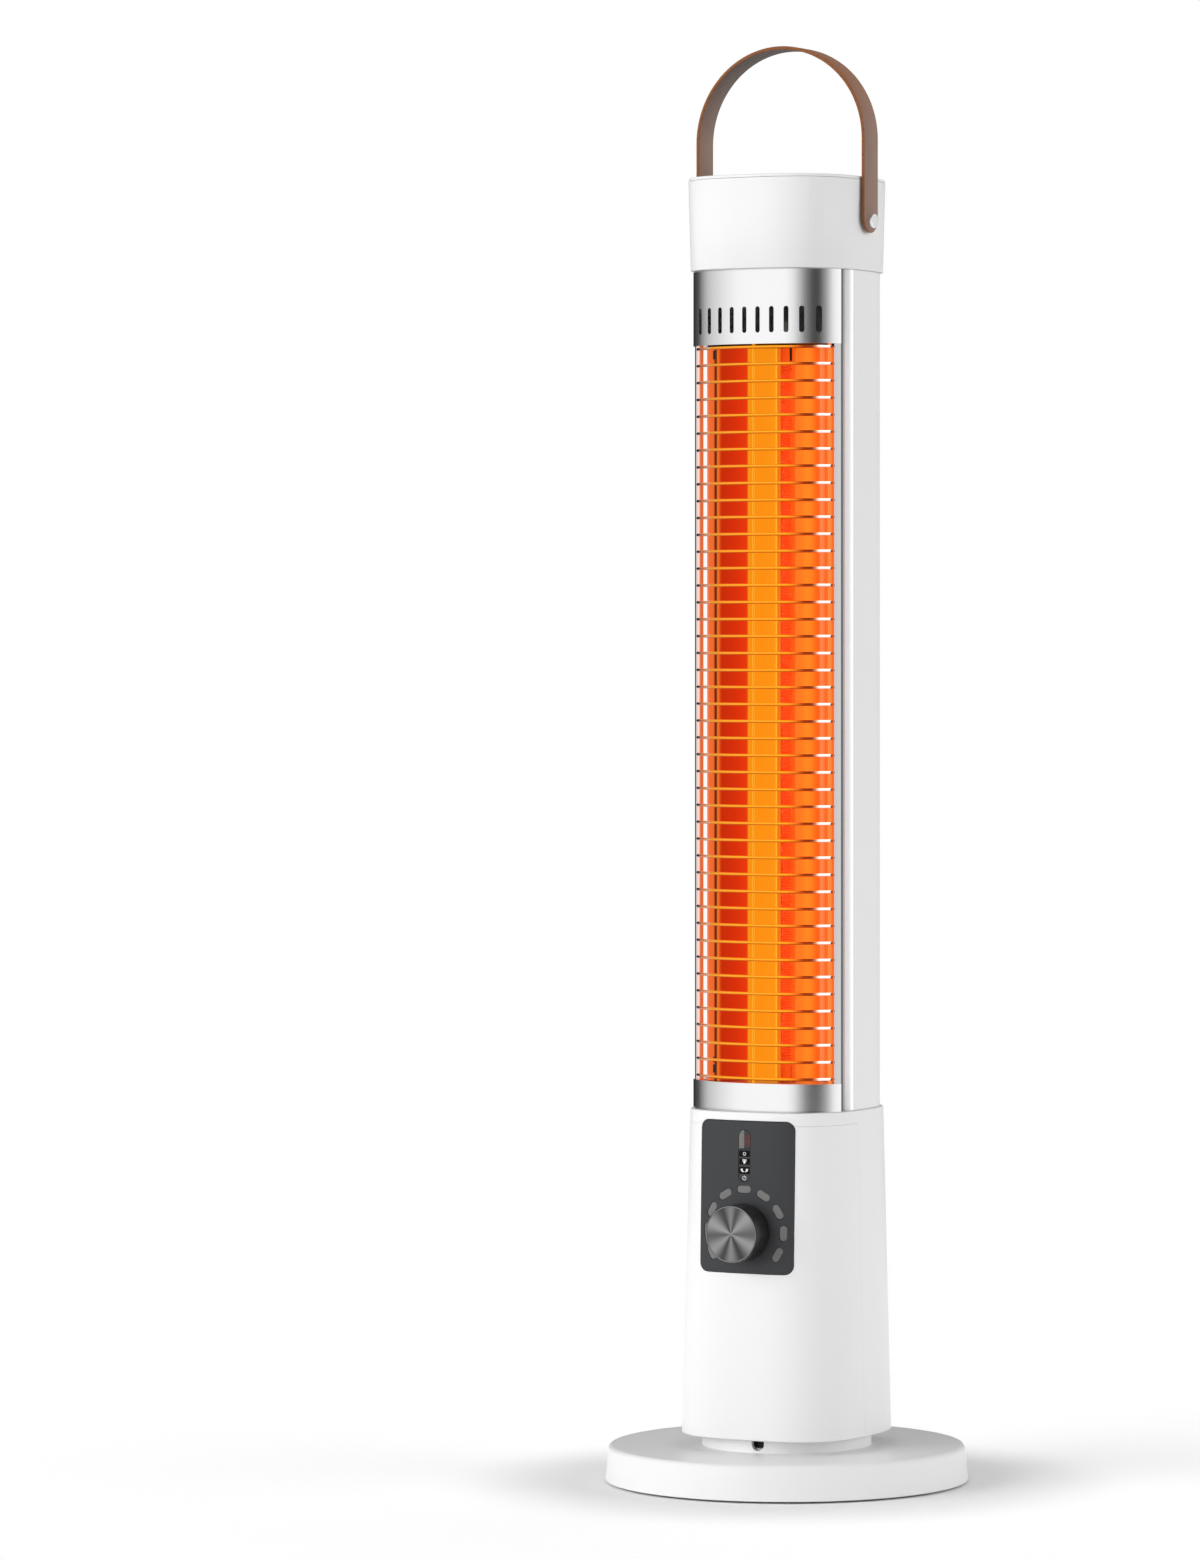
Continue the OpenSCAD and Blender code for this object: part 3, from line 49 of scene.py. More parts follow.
HOUSING_FOOT, HOUSING_TOP, SEAM_Z, SEAM_Y = 33.1, 247.1, 238.8, -11.0
PANEL_W, PANEL_H, PANEL_Z, KNOB_Z = 68.8, 99.6, 191.9, 169.1
STRIP_TOP, STRIP_R, RECEIVER_FOOT, ICON_TOP, ICON_FOOT = 236.1, 4.5, 223.3, 222.7, 201.5
COLUMN_FOOT, OPENING_FOOT, OPENING_HEAD, COLUMN_TOP = 247.4, 265.6, 749.8, 798.7
CAP_FOOT, CAP_RIM, LID_TOP, HANDLE_Z = 799.0, 858.2, 860.4, 831.2
LAMP_SPAN = 55
# How square the plans of the casings and of the bands are, and the sharpest edge in degrees that is smoothed
CASING_POWER, BAND_POWER, SMOOTH_ANGLE = 2.9, 2.2, 34


def in_scene(name, data):
    """An object in the scene that shows a mesh, a lamp or a camera."""
    made = bpy.data.objects.new(name, data)
    bpy.context.scene.collection.objects.link(made)
    return made


def set_camera():
    """The photograph's camera: a long lens, level, at 27.3 degrees to the right of the heater's front."""
    turn, distance, height = math.radians(27.3), 4.329, 0.5635
    lens = bpy.data.cameras.new("studio camera")
    lens.lens, lens.sensor_width = 151.0, 36
    lens.shift_x, lens.shift_y = -0.1197, -0.0972
    lens.clip_end = 50
    camera = in_scene("studio camera", lens)
    camera.location = (distance * math.sin(turn), -distance * math.cos(turn), height)
    camera.rotation_euler = (math.pi / 2, 0, turn)
    bpy.context.scene.camera = camera


# Node trees

VECTOR, COLOUR, FLOAT, SHAPE = "NodeSocketVector", "NodeSocketColor", "NodeSocketFloat", "NodeSocketGeometry"
SOCKET_TYPES = {float: FLOAT, int: "NodeSocketInt", tuple: VECTOR}
BLACK, WHITE = (0, 0, 0), (1, 1, 1)


def feed(tree, sockets, values):
    """Feeds sockets with other nodes' outputs or with plain values. A colour is given as three numbers."""
    for key, value in values.items():
        socket = sockets[key]
        if isinstance(value, bpy.types.NodeSocket):
            tree.links.new(value, socket)
        else:
            socket.default_value = (*value, 1) if socket.type == "RGBA" else value


def put(tree, kind, values=None, **settings):
    """Adds a node, sets it up and feeds its inputs."""
    made = tree.nodes.new(kind)
    for key, value in settings.items():
        setattr(made, key, value)
    feed(tree, made.inputs, values or {})
    return made


def maths(tree, operation, *values, clamp=False):
    made = put(tree, "ShaderNodeMath", dict(enumerate(values)), operation=operation, use_clamp=clamp)
    return made.outputs[0]


def axes(tree, vector):
    """The X, Y and Z of a vector."""
    return put(tree, "ShaderNodeSeparateXYZ", {0: vector}).outputs


def scaled(tree, vector, factor):
    return put(tree, "ShaderNodeVectorMath", {0: vector, "Scale": factor}, operation="SCALE").outputs[0]


def noise(tree, place, scale, detail=2.0, roughness=0.5):
    values = {"Vector": place, "Scale": scale, "Detail": detail, "Roughness": roughness}
    return put(tree, "ShaderNodeTexNoise", values).outputs["Fac"]


def share_of(tree, value, low, high, least=0.0, most=1.0, interpolation="LINEAR"):
    """How far a value has come from low to high, as a number from least to most."""
    values = {"Value": value, "From Min": low, "From Max": high, "To Min": least, "To Max": most}
    return put(tree, "ShaderNodeMapRange", values, interpolation_type=interpolation).outputs["Result"]


def ramp(tree, value, stops, interpolation="LINEAR"):
    """A colour that changes with a value, through stops of (value, colour) from 0 to 1."""
    made = put(tree, "ShaderNodeValToRGB", {"Fac": value})
    band = made.color_ramp
    band.interpolation = interpolation
    while len(band.elements) < len(stops):
        band.elements.new(0.5)
    for element, (place, tint) in zip(band.elements, stops):
        element.position = place
        element.color = (*tint, 1)
    return made.outputs["Color"]


def blended(tree, factor, first, second, mode="MIX"):
    """Goes from the first colour to the second as the factor goes from 0 to 1."""
    made = put(tree, "ShaderNodeMix", data_type="RGBA", blend_type=mode)
    sockets = {socket.identifier: socket for socket in made.inputs}
    feed(tree, sockets, {"Factor_Float": factor, "A_Color": first, "B_Color": second})
    return next(socket for socket in made.outputs if socket.identifier == "Result_Color")


def tone(r, g, b):
    """A colour given as on a screen, 0 to 255, in Blender's own linear numbers."""
    def linear(v):
        v /= 255
        return v / 12.92 if v < 0.04045 else ((v + 0.055) / 1.055) ** 2.4
    return (linear(r), linear(g), linear(b))


def grey(level):
    return (level, level, level)


def group(name, inputs, outputs, kind="ShaderNodeTree"):
    """A node group: its tree and the sockets inside it. Each is named, with its type or its plain value."""
    tree = bpy.data.node_groups.new(name, kind)
    for direction, sockets in (("INPUT", inputs), ("OUTPUT", outputs)):
        for title, value in sockets.items():
            typed = isinstance(value, str)
            made = tree.interface.new_socket(title, in_out=direction,
                                             socket_type=value if typed else SOCKET_TYPES[type(value)])
            if not typed:
                made.default_value = value
    return tree, tree.nodes.new("NodeGroupInput").outputs, tree.nodes.new("NodeGroupOutput").inputs


# Shared effects

SKIN = {"Colour": COLOUR, "Roughness": FLOAT, "Height": FLOAT}


def make_fine_grain():
    """Moulded or coated skin: a little light and dark, and a fine raised grain."""
    tree, given, out = group(
        "Fine grain",
        {"Place": VECTOR, "Colour": COLOUR, "Grains per metre": 2500.0, "Mottle": 0.02, "Roughness": 0.4,
         "Roughness spread": 0.05},
        SKIN)
    grain = noise(tree, given["Place"], given["Grains per metre"])
    drift = noise(tree, given["Place"], 14.0, 3.0)
    swing = maths(tree, "SUBTRACT", maths(tree, "ADD", grain, drift), 1.0)
    level = maths(tree, "MULTIPLY_ADD", swing, given["Mottle"], 1.0)
    uneven = maths(tree, "SUBTRACT", drift, 0.5)
    feed(tree, out, {
        "Colour": scaled(tree, given["Colour"], level),
        "Roughness": maths(tree, "MULTIPLY_ADD", uneven, given["Roughness spread"], given["Roughness"]),
        "Height": grain})
    return tree


def make_brushing():
    """Brushed metal: long fine streaks along the direction in which the coordinates are squeezed."""
    tree, given, out = group(
        "Brushing",
        {"Place": VECTOR, "Colour": COLOUR, "Streaks": (1.0, 1.0, 60.0), "Contrast": 0.06, "Roughness": 0.25,
         "Roughness spread": 0.08},
        SKIN)
    squeezed = put(tree, "ShaderNodeVectorMath", {0: given["Place"], 1: given["Streaks"]},
                   operation="MULTIPLY")
    streak = noise(tree, squeezed.outputs[0], 60.0, 6.0, 0.7)
    centred = maths(tree, "SUBTRACT", streak, 0.5)
    level = maths(tree, "MULTIPLY_ADD", centred, given["Contrast"], 1.0)
    feed(tree, out, {
        "Colour": scaled(tree, given["Colour"], level),
        "Roughness": maths(tree, "MULTIPLY_ADD", centred, given["Roughness spread"], given["Roughness"]),
        "Height": streak})
    return tree


FINE_GRAIN, BRUSHING = make_fine_grain(), make_brushing()


# Finishes

def material(wire_up):
    """Makes a function that wires up a shader into one that gives a material with that name."""
    def make(name, *values, **named):
        made = bpy.data.materials.new(name)
        made.use_nodes = True
        tree = made.node_tree
        place = put(tree, "ShaderNodeTexCoord").outputs["Object"]
        wire_up(tree, tree.nodes["Principled BSDF"].inputs, place, *values, **named)
        return made
    return make


def own_value(tree, name):
    """A value that a piece keeps for each of its faces."""
    return put(tree, "ShaderNodeAttribute", attribute_name=name).outputs["Fac"]


def emboss(tree, shader, height, depth):
    """Raises the surface by a height map, with its depth in metres."""
    bump = put(tree, "ShaderNodeBump", {"Height": height, "Distance": depth, "Strength": 0.6})
    feed(tree, shader, {"Normal": bump.outputs["Normal"]})


def lay_skin(tree, shader, effect, depth, values):
    """Places a shared effect, feeds its roughness and relief to the shader, and gives its colour."""
    skin = put(tree, "ShaderNodeGroup", values, node_tree=effect).outputs
    feed(tree, shader, {"Roughness": skin["Roughness"]})
    if depth:
        emboss(tree, shader, skin["Height"], depth)
    return skin["Colour"]


def fine_grain(tree, shader, place, colour, grains, mottle, roughness, spread, depth=0.0):
    return lay_skin(tree, shader, FINE_GRAIN, depth, {
        "Place": place, "Colour": colour, "Grains per metre": grains, "Mottle": mottle,
        "Roughness": roughness, "Roughness spread": spread})


def brushing(tree, shader, place, colour, streaks, contrast, roughness, spread, depth=0.000004):
    return lay_skin(tree, shader, BRUSHING, depth, {
        "Place": place, "Colour": colour, "Streaks": streaks, "Contrast": contrast,
        "Roughness": roughness, "Roughness spread": spread})


def add_light(tree, shader, share, colour, strength):
    """Gives the surface a light of its own, as far as the share says."""
    glow = blended(tree, share, BLACK, colour)
    feed(tree, shader, {"Emission Color": glow, "Emission Strength": strength})


def lamp_chart(tree, place, stops):
    """Painted glow colours across the lamp, through stops of (millimetres from its middle, colour)."""
    across = share_of(tree, axes(tree, place)["X"], -LAMP_SPAN * MM, LAMP_SPAN * MM)
    return ramp(tree, across, [((x + LAMP_SPAN) / (2 * LAMP_SPAN), tint) for x, tint in stops])


@material
def grained(tree, shader, place, colour, grains, mottle, roughness, spread, depth=0.00002, gloss=0.5):
    """A moulded or coated finish with a fine grain."""
    skin = fine_grain(tree, shader, place, colour, grains, mottle, roughness, spread, depth)
    feed(tree, shader, {"Base Color": skin, "Specular IOR Level": gloss})


@material
def brushed(tree, shader, place, colour, streaks, contrast, roughness, spread):
    """A metal finish with brushing in one direction."""
    metal = brushing(tree, shader, place, colour, streaks, contrast, roughness, spread)
    feed(tree, shader, {"Base Color": metal, "Metallic": 1.0})


@material
def painted_glow_wire(tree, shader, place, stops):
    """Bright wire before the lamp, with the lamp's glow painted on in its colours from place to place, as
    colour and as a light of its own, with painted shade underneath and a painted highlight near the right
    ends.
    """
    upward = axes(tree, put(tree, "ShaderNodeNewGeometry").outputs["Normal"])["Z"]
    # painted shade: the underside of each wire is darker
    under = maths(tree, "MULTIPLY", maths(tree, "SUBTRACT", 0.2, upward), 0.75, clamp=True)
    lit = blended(tree, under, lamp_chart(tree, place, stops), tone(120, 32, 6))
    # painted glow, with a painted highlight where it grows stronger near the right ends
    painted_glow_and_end_highlight = share_of(tree, axes(tree, place)["X"], 0.041, 0.0435, 0.35, 0.95)
    metal = brushing(tree, shader, place, lit, (1, 60, 60), 0.1, 0.2, 0.06, 0.000003)
    feed(tree, shader, {"Base Color": metal, "Metallic": 1.0, "Emission Strength": 1.0,
                        "Emission Color": scaled(tree, lit, painted_glow_and_end_highlight)})


@material
def lit_rail(tree, shader, place):
    """Bright side rail. Inside, beside the lamp, the lamp's reflection is painted on the web as glowing
    bands; outside, the front of the web is painted dark as shade.
    """
    _, y, z = axes(tree, place)
    foot, head = OPENING_FOOT * MM, OPENING_HEAD * MM
    # painted shade: the front of the web's outer face is painted dark
    forward = share_of(tree, y, -0.0182, -0.0196)
    dull = maths(tree, "MULTIPLY", own_value(tree, "outer_side"), forward, clamp=True)
    above = share_of(tree, z, foot - 0.0011, foot + 0.0009)
    below = share_of(tree, z, head + 0.0017, head - 0.0003)
    beside = maths(tree, "MULTIPLY", above, below, clamp=True)
    lit = maths(tree, "MULTIPLY", own_value(tree, "inner_side"), beside)
    # painted reflections of the lamp, in glowing bands across the inside of the web
    bands = ramp(tree, share_of(tree, y, -0.032, -0.016), [
        (0.0, tone(250, 170, 130)), (0.25, tone(255, 236, 226)), (0.36, tone(222, 104, 60)),
        (0.45, tone(255, 240, 230)), (0.58, tone(222, 104, 58)), (0.66, tone(255, 252, 250)),
        (1.0, tone(255, 253, 252))])
    metal = brushing(tree, shader, place, (0.64, 0.64, 0.645), (60, 60, 1), 0.06, 0.2, 0.08)
    web = blended(tree, dull, metal, (0.17, 0.17, 0.172))
    feed(tree, shader, {"Base Color": blended(tree, lit, web, grey(0.02)), "Metallic": 1.0})
    add_light(tree, shader, lit, bands, 0.95)


@material
def coat_with_painted_edge_glow(tree, shader, place, colour):
    """Powder coat with painted light on the folded front edge beside the lamp: the edge glows a little in
    its own colour.
    """
    coat = fine_grain(tree, shader, place, colour, 900.0, 0.014, 0.42, 0.06, 0.00004)
    feed(tree, shader, {"Base Color": coat})
    # painted light: the front edge glows in the coat's colour
    add_light(tree, shader, own_value(tree, "front_edge"), coat, 0.42)


@material
def painted_glow_mirror(tree, shader, place):
    """Polished sheet behind the lamp. On its lamp side the lamp's glow is painted on as a colour and a light
    of its own, a different colour on each fold, with painted shade in the grooves and a painted shadow where
    it runs up behind the top band.
    """
    # lip and groove: painted glow at the sheet's edges and painted shade in the grooves
    lip, groove = tone(236, 110, 50), tone(22, 9, 5)
    painted_fold_glow = lamp_chart(tree, place, [
        (-55, tone(250, 168, 130)), (-52, tone(244, 140, 92)), (-50.5, lip), (-47.2, tone(232, 96, 42)),
        (-46.5, groove), (-45.3, groove), (-44.6, tone(236, 124, 50)), (-43.4, tone(226, 96, 26)),
        (-42.8, tone(190, 46, 12)), (-38, tone(206, 50, 13)), (-33.5, tone(224, 58, 16)),
        (-33.2, tone(170, 60, 16)), (-32.9, tone(255, 178, 44)), (-32.4, tone(255, 146, 20)),
        (-17, tone(253, 150, 24)), (-16.4, tone(255, 196, 50)), (-15.8, tone(240, 130, 40)),
        (-15.2, tone(216, 84, 28)), (-9, tone(244, 108, 32)), (-4, tone(248, 114, 34)),
        (3, tone(248, 120, 34)), (6.2, tone(250, 130, 36)), (9.5, tone(248, 124, 34)),
        (13.4, tone(246, 96, 24)), (15.8, tone(246, 96, 28)), (16.3, tone(246, 138, 82)),
        (20, tone(244, 130, 70)), (21, tone(242, 108, 42)), (33, tone(244, 116, 50)),
        (43, tone(234, 90, 34)), (55, lip)])
    sheen = brushing(tree, shader, place, WHITE, (14, 14, 0.4), 0.12, 0.3, 0.1)
    streaked = blended(tree, 1.0, painted_fold_glow, sheen, "MULTIPLY")
    # painted shadow: nearly black where the sheet runs up behind the top band
    head, soft = OPENING_HEAD * MM, 0.0004
    painted_shadow_behind_band = share_of(tree, axes(tree, place)["Z"], head - soft, head + soft)
    colour = blended(tree, painted_shadow_behind_band, streaked, (0.002, 0.001, 0.001))
    body = blended(tree, 0.78, colour, BLACK)
    lit = own_value(tree, "lit_side")
    feed(tree, shader, {"Base Color": blended(tree, lit, (0.5, 0.48, 0.46), body), "Metallic": 1.0})
    add_light(tree, shader, lit, colour, 0.9)


@material
def lit_quartz(tree, shader, place):
    """Clear tube, tinted with a painted glow of the light within it."""
    tint = fine_grain(tree, shader, place, tone(255, 222, 198), 300.0, 0.03, 0.05, 0.03)
    feed(tree, shader, {"Base Color": tint, "Transmission Weight": 1.0, "IOR": 1.12})


@material
def glowing_wire(tree, shader, place):
    """Hot wire: bright red orange, hotter and paler in patches along its length, and dull at its ends."""
    middle, reach = 0.5074, 0.2315
    away = maths(tree, "ABSOLUTE", maths(tree, "SUBTRACT", axes(tree, place)["Z"], middle))
    hot = maths(tree, "MULTIPLY", maths(tree, "SUBTRACT", reach, away), 60.0, clamp=True)
    heat = maths(tree, "MULTIPLY", noise(tree, place, 130.0), hot)
    colour = ramp(tree, heat, [(0.0, tone(196, 36, 8)), (0.3, tone(232, 34, 6)), (0.5, tone(255, 50, 18)),
                               (0.62, tone(255, 74, 24)), (1.0, tone(255, 120, 60))])
    feed(tree, shader, {"Base Color": blended(tree, 0.8, colour, BLACK), "Roughness": 0.6,
                        "Emission Color": colour, "Emission Strength": 1.0})


@material
def lamp_lead(tree, shader, place):
    """Lead wire: black at the lamp's head, and with the lamp's orange light painted on as a glow at its
    foot.
    """
    wire = fine_grain(tree, shader, place, (0.012, 0.011, 0.011), 900.0, 0.2, 0.6, 0.1)
    feed(tree, shader, {"Base Color": wire})
    add_light(tree, shader, share_of(tree, axes(tree, place)["Z"], 0.52, 0.49), tone(222, 74, 14), 1.0)


@material
def spun_disc(tree, shader, place, middle):
    """Metal turned on a lathe: fine rings, and a painted fan of light and dark reflections round the middle.
    """
    centred = put(tree, "ShaderNodeMapping", {"Vector": place, "Location": (0, 0, -middle)})
    x, _, z = axes(tree, centred.outputs[0])
    radius = maths(tree, "SQRT", maths(tree, "MULTIPLY_ADD", x, x, maths(tree, "MULTIPLY", z, z)))
    # painted reflections: light and dark sectors by the turn round the middle
    fan = [(0.0, 0.27), (0.06, 0.08), (0.139, 0.33), (0.236, 0.14), (0.319, 0.37), (0.44, 0.08), (0.5, 0.26),
           (0.545, 0.1), (0.625, 0.36), (0.75, 0.15), (0.82, 0.35), (0.925, 0.07), (1.0, 0.27)]
    turn = share_of(tree, maths(tree, "ARCTAN2", x, z), -math.pi, math.pi)
    painted_star = ramp(tree, turn, [(share, grey(level)) for share, level in fan], "EASE")
    soft_middle = blended(tree, share_of(tree, radius, 0.0002, 0.0012), grey(0.34), painted_star)
    cuts = {"W": maths(tree, "MULTIPLY", radius, 9000.0), "Scale": 1.0, "Detail": 2.0}
    rings = put(tree, "ShaderNodeTexNoise", cuts, noise_dimensions="1D").outputs["Fac"]
    level = maths(tree, "MULTIPLY_ADD", rings, 0.12, 0.94)
    feed(tree, shader, {"Base Color": scaled(tree, soft_middle, level), "Metallic": 1.0,
                        "Roughness": maths(tree, "MULTIPLY_ADD", rings, 0.1, 0.34)})
    emboss(tree, shader, rings, 0.000006)


@material
def window_pair(tree, shader, place):
    """The window over the receiver: milky on the left, dark red over the sensor on the right."""
    middle, foot, head, soft = 0.0003, 0.2245, 0.2335, 0.0017
    x, _, z = axes(tree, place)
    cloud = noise(tree, place, 420.0, 3.0)
    right = maths(tree, "GREATER_THAN", maths(tree, "MULTIPLY_ADD", cloud, 0.0012, x), middle)
    above = share_of(tree, z, foot, foot + soft)
    below = share_of(tree, z, head, head - soft)
    sensor = maths(tree, "MULTIPLY", maths(tree, "MULTIPLY", above, below, clamp=True), right, clamp=True)
    milky = blended(tree, cloud, tone(88, 88, 88), tone(118, 118, 116))
    dark = blended(tree, right, milky, tone(40, 40, 41))
    feed(tree, shader, {"Base Color": blended(tree, sensor, dark, tone(74, 34, 34)),
                        "Roughness": maths(tree, "MULTIPLY_ADD", cloud, 0.08, 0.24)})


@material
def leather(tree, shader, place):
    """Smooth leather with fine pores and orange at its cut edges; over the arch a painted highlight makes
    the outside browner and painted shade makes the inside darker.
    """
    pores = put(tree, "ShaderNodeTexVoronoi", {"Vector": place, "Scale": 1300.0, "Randomness": 0.9})
    cloud = noise(tree, place, 60.0, 5.0, 0.6)
    fibre = noise(tree, place, 900.0, 3.0)
    face = ramp(tree, cloud, [(0.3, tone(133, 104, 90)), (0.7, tone(146, 117, 101))])
    bare = ramp(tree, fibre, [(0.3, tone(112, 62, 24)), (0.7, tone(148, 88, 40))])
    # painted highlight on the outside of the arch, painted shade on its inside
    painted_arch_shading = blended(tree, own_value(tree, "outer_side"), tone(86, 70, 63), tone(142, 84, 40))
    arch_foot, arch_head = 0.888, 0.938
    face_with_painted_arch = blended(tree, share_of(tree, axes(tree, place)["Z"], arch_foot, arch_head), face, painted_arch_shading)
    feed(tree, shader, {"Base Color": blended(tree, own_value(tree, "cut_edge"), face_with_painted_arch, bare),
                        "Roughness": maths(tree, "MULTIPLY_ADD", cloud, 0.2, 0.42), "Sheen Weight": 0.05})
    threads = maths(tree, "MULTIPLY", fibre, 0.4)
    emboss(tree, shader, maths(tree, "MULTIPLY_ADD", pores.outputs["Distance"], 0.6, threads), 0.00003)


@material
def circuit_board(tree, shader, place):
    """Green laminate with a fine weave under the lacquer and copper tracks."""
    tracks = put(tree, "ShaderNodeTexBrick", {
        "Vector": place, "Scale": 130.0, "Mortar Size": 0.05, "Color1": tone(22, 84, 48),
        "Color2": tone(18, 74, 42), "Mortar": tone(70, 122, 62)})
    weave = noise(tree, place, 1800.0)
    feed(tree, shader, {"Base Color": tracks.outputs["Color"],
                        "Roughness": maths(tree, "MULTIPLY_ADD", weave, 0.2, 0.25)})
    emboss(tree, shader, weave, 0.00001)


# Grained: colour, grains per metre, mottle, roughness and its spread, and the grain's depth in metres.
# Brushed: colour, squeeze of the streaks along X, Y and Z, contrast, roughness and its spread.
FINISHES = {
    "white_plastic": grained("white casing plastic", (0.85, 0.85, 0.853), 1800.0, 0.012, 0.36, 0.06),
    "white_steel": grained("white powder coat", (0.85, 0.85, 0.852), 900.0, 0.014, 0.42, 0.06, 0.00004),
    "brushed_band": brushed("brushed band steel", (0.93, 0.93, 0.935), (1, 1, 40), 0.05, 0.16, 0.08),
    "plain_steel": brushed("zinc plated steel", (0.62, 0.62, 0.63), (8, 1, 8), 0.2, 0.34, 0.16),
    # The wires' painted lamp glow: orange reflections of the lamp, painted shade at the left ends, in a band
    # on the right and at the right tips, and a painted white highlight near the right ends
    "guard_steel": painted_glow_wire("guard wire steel", [
        (-55, tone(70, 30, 18)), (-47.5, tone(90, 36, 18)), (-45, tone(235, 150, 110)),
        (-36.5, tone(250, 190, 140)), (-33, tone(255, 168, 48)), (24, tone(255, 160, 36)),
        (31, tone(236, 118, 36)), (35, tone(176, 70, 26)), (39.5, tone(170, 76, 36)),
        (42, tone(250, 180, 130)), (43.5, tone(255, 242, 236)), (49, tone(250, 232, 222)),
        (49.7, tone(70, 40, 30))]),
    "mirror_sheet": painted_glow_mirror("lamp reflector sheet"),
    "ballast_iron": grained("cast iron", (0.05, 0.05, 0.052), 700.0, 0.3, 0.7, 0.1, 0.0002),
    "foot_rubber": grained("foot rubber", (0.02, 0.02, 0.021), 1500.0, 0.2, 0.75, 0.1, 0.00004),
    "black_plastic": grained("black plastic", (0.022, 0.022, 0.023), 2200.0, 0.1, 0.45, 0.1),
    "natural_plastic": grained("natural gear plastic", (0.72, 0.68, 0.58), 1500.0, 0.05, 0.4, 0.08),
    "panel_plastic": grained("panel plastic", tone(46, 47, 50), 3200.0, 0.12, 0.5, 0.05, 0.00003),
    "window_plastic": grained("light window plastic", tone(108, 108, 107), 1200.0, 0.1, 0.3, 0.06),
    "receiver_plastic": window_pair("receiver window"),
    "icon_plastic": grained("black icon window", grey(0.003), 1500.0, 0.1, 0.35, 0.04, gloss=0.1),
    "knob_metal": grained("black knob coat", (0.012, 0.012, 0.0125), 2600.0, 0.1, 0.3, 0.06, 0.00001),
    "knob_face_metal": spun_disc("spun knob face", KNOB_Z * MM),
    "board_laminate": circuit_board("board laminate"),
    "quartz": lit_quartz("quartz glass"),
    "heating_wire": glowing_wire("hot heating wire"),
    "ceramic_end": grained("lamp ceramic", (0.74, 0.7, 0.62), 1300.0, 0.06, 0.6, 0.1, 0.00005),
    "strap_leather": leather("strap leather"),
    "rivet_metal": brushed("polished rivet", (0.94, 0.94, 0.95), (1, 20, 20), 0.04, 0.2, 0.06),
}
RAIL_STEEL = lit_rail("side rail steel")
WHITE_WITH_PAINTED_EDGE_GLOW = coat_with_painted_edge_glow("white coat with painted edge glow", (0.85, 0.85, 0.852))
WHITE_MARK = grained("white icon print", grey(0.85), 3000.0, 0.04, 0.5, 0.05)
RIM_METAL = brushed("bright knob rim", (0.3, 0.3, 0.305), (20, 20, 20), 0.05, 0.3, 0.05)
OWN_FINISHES = {
    # The stays' painted lamp glow, in the lamp's colours
    "guard_stays": painted_glow_wire("guard stay steel", [
        (-50, tone(222, 104, 58)), (-40, tone(240, 150, 100)), (-6, tone(255, 176, 44)),
        (6, tone(255, 170, 36)), (40, tone(244, 124, 62)), (50, tone(243, 118, 54))]),
    # painted shade: the deck is near-black for the dark line seen under the top band
    "upper_deck": brushed("deck in painted shade", (0.012, 0.011, 0.011), (8, 8, 1), 0.3, 0.7, 0.1),
    "coil_leads": lamp_lead("lamp lead wire"),
}
SLOTS = {row["node"]: row["material_slot"] for row in frame["record"]["subparts"]}
BODIES = {name: body for body, names in frame["record"]["behaviour"]["bodies"].items() for name in names}


def dress_cad_nodes():
    for name, node in frame["nodes"].items():
        node.data.materials.clear()
        node.data.materials.append(OWN_FINISHES.get(name, FINISHES[SLOTS[name]]))


# Outlines

def mix(a, b, t):
    return a + (b - a) * t


def signed_power(v, p):
    return math.copysign(abs(v) ** p, v)


def superellipse(w, front, back, sides=192):
    """A casing's plan: flattened sides and round corners, with its own reach to the front and the back."""
    power = 2 / CASING_POWER
    turns = [2 * math.pi * i / sides for i in range(sides)]
    return [(w * signed_power(math.cos(t), power),
             (front if math.sin(t) < 0 else back) * signed_power(math.sin(t), power)) for t in turns]


def curve_y(x, w, reach, power):
    """Where a curved front lies, at a place across it."""
    return -reach * max(0.0, 1 - (abs(x) / w) ** power) ** (1 / power)


def housing_size(z, inset=0.0):
    """The lower housing at a height: half its width, and its reach to the front and to the back."""
    t = (z - HOUSING_FOOT) / (HOUSING_TOP - HOUSING_FOOT)
    return mix(63.5, 57.9, t) - inset, mix(63.3, 59.2, t) - inset, mix(64.1, 61.2, t) - inset


def cap_size(z, inset=0.0):
    """The cap at a height, as for the lower housing."""
    grow = 1.5 * (z - CAP_FOOT) / (LID_TOP - CAP_FOOT)
    return 58 + grow - inset, 58.5 + grow - inset, 60.3 + grow - inset


def plan_at(size, z, inset=0.0, lift=0.0):
    """A height and a casing's plan there. Lifted, it keeps the plan of the height that it is lifted from."""
    return z + lift, superellipse(*size(z, inset))


def front_y(x, z, out):
    w, front, _ = housing_size(z, -out)
    return curve_y(x, w, front, CASING_POWER)


def band_y(x, inset=0.0):
    return curve_y(x, 63.4 - inset, 51.3 - inset, BAND_POWER)


def arc(cx, cy, r, a0, a1, n=8):
    turns = [math.radians(mix(a0, a1, i / n)) for i in range(n + 1)]
    return [(cx + r * math.cos(a), cy + r * math.sin(a)) for a in turns]


def pill(length, width, n=12):
    reach, r = (length - width) / 2, width / 2
    return arc(reach, 0, r, -90, 90, n) + arc(-reach, 0, r, 90, 270, n)


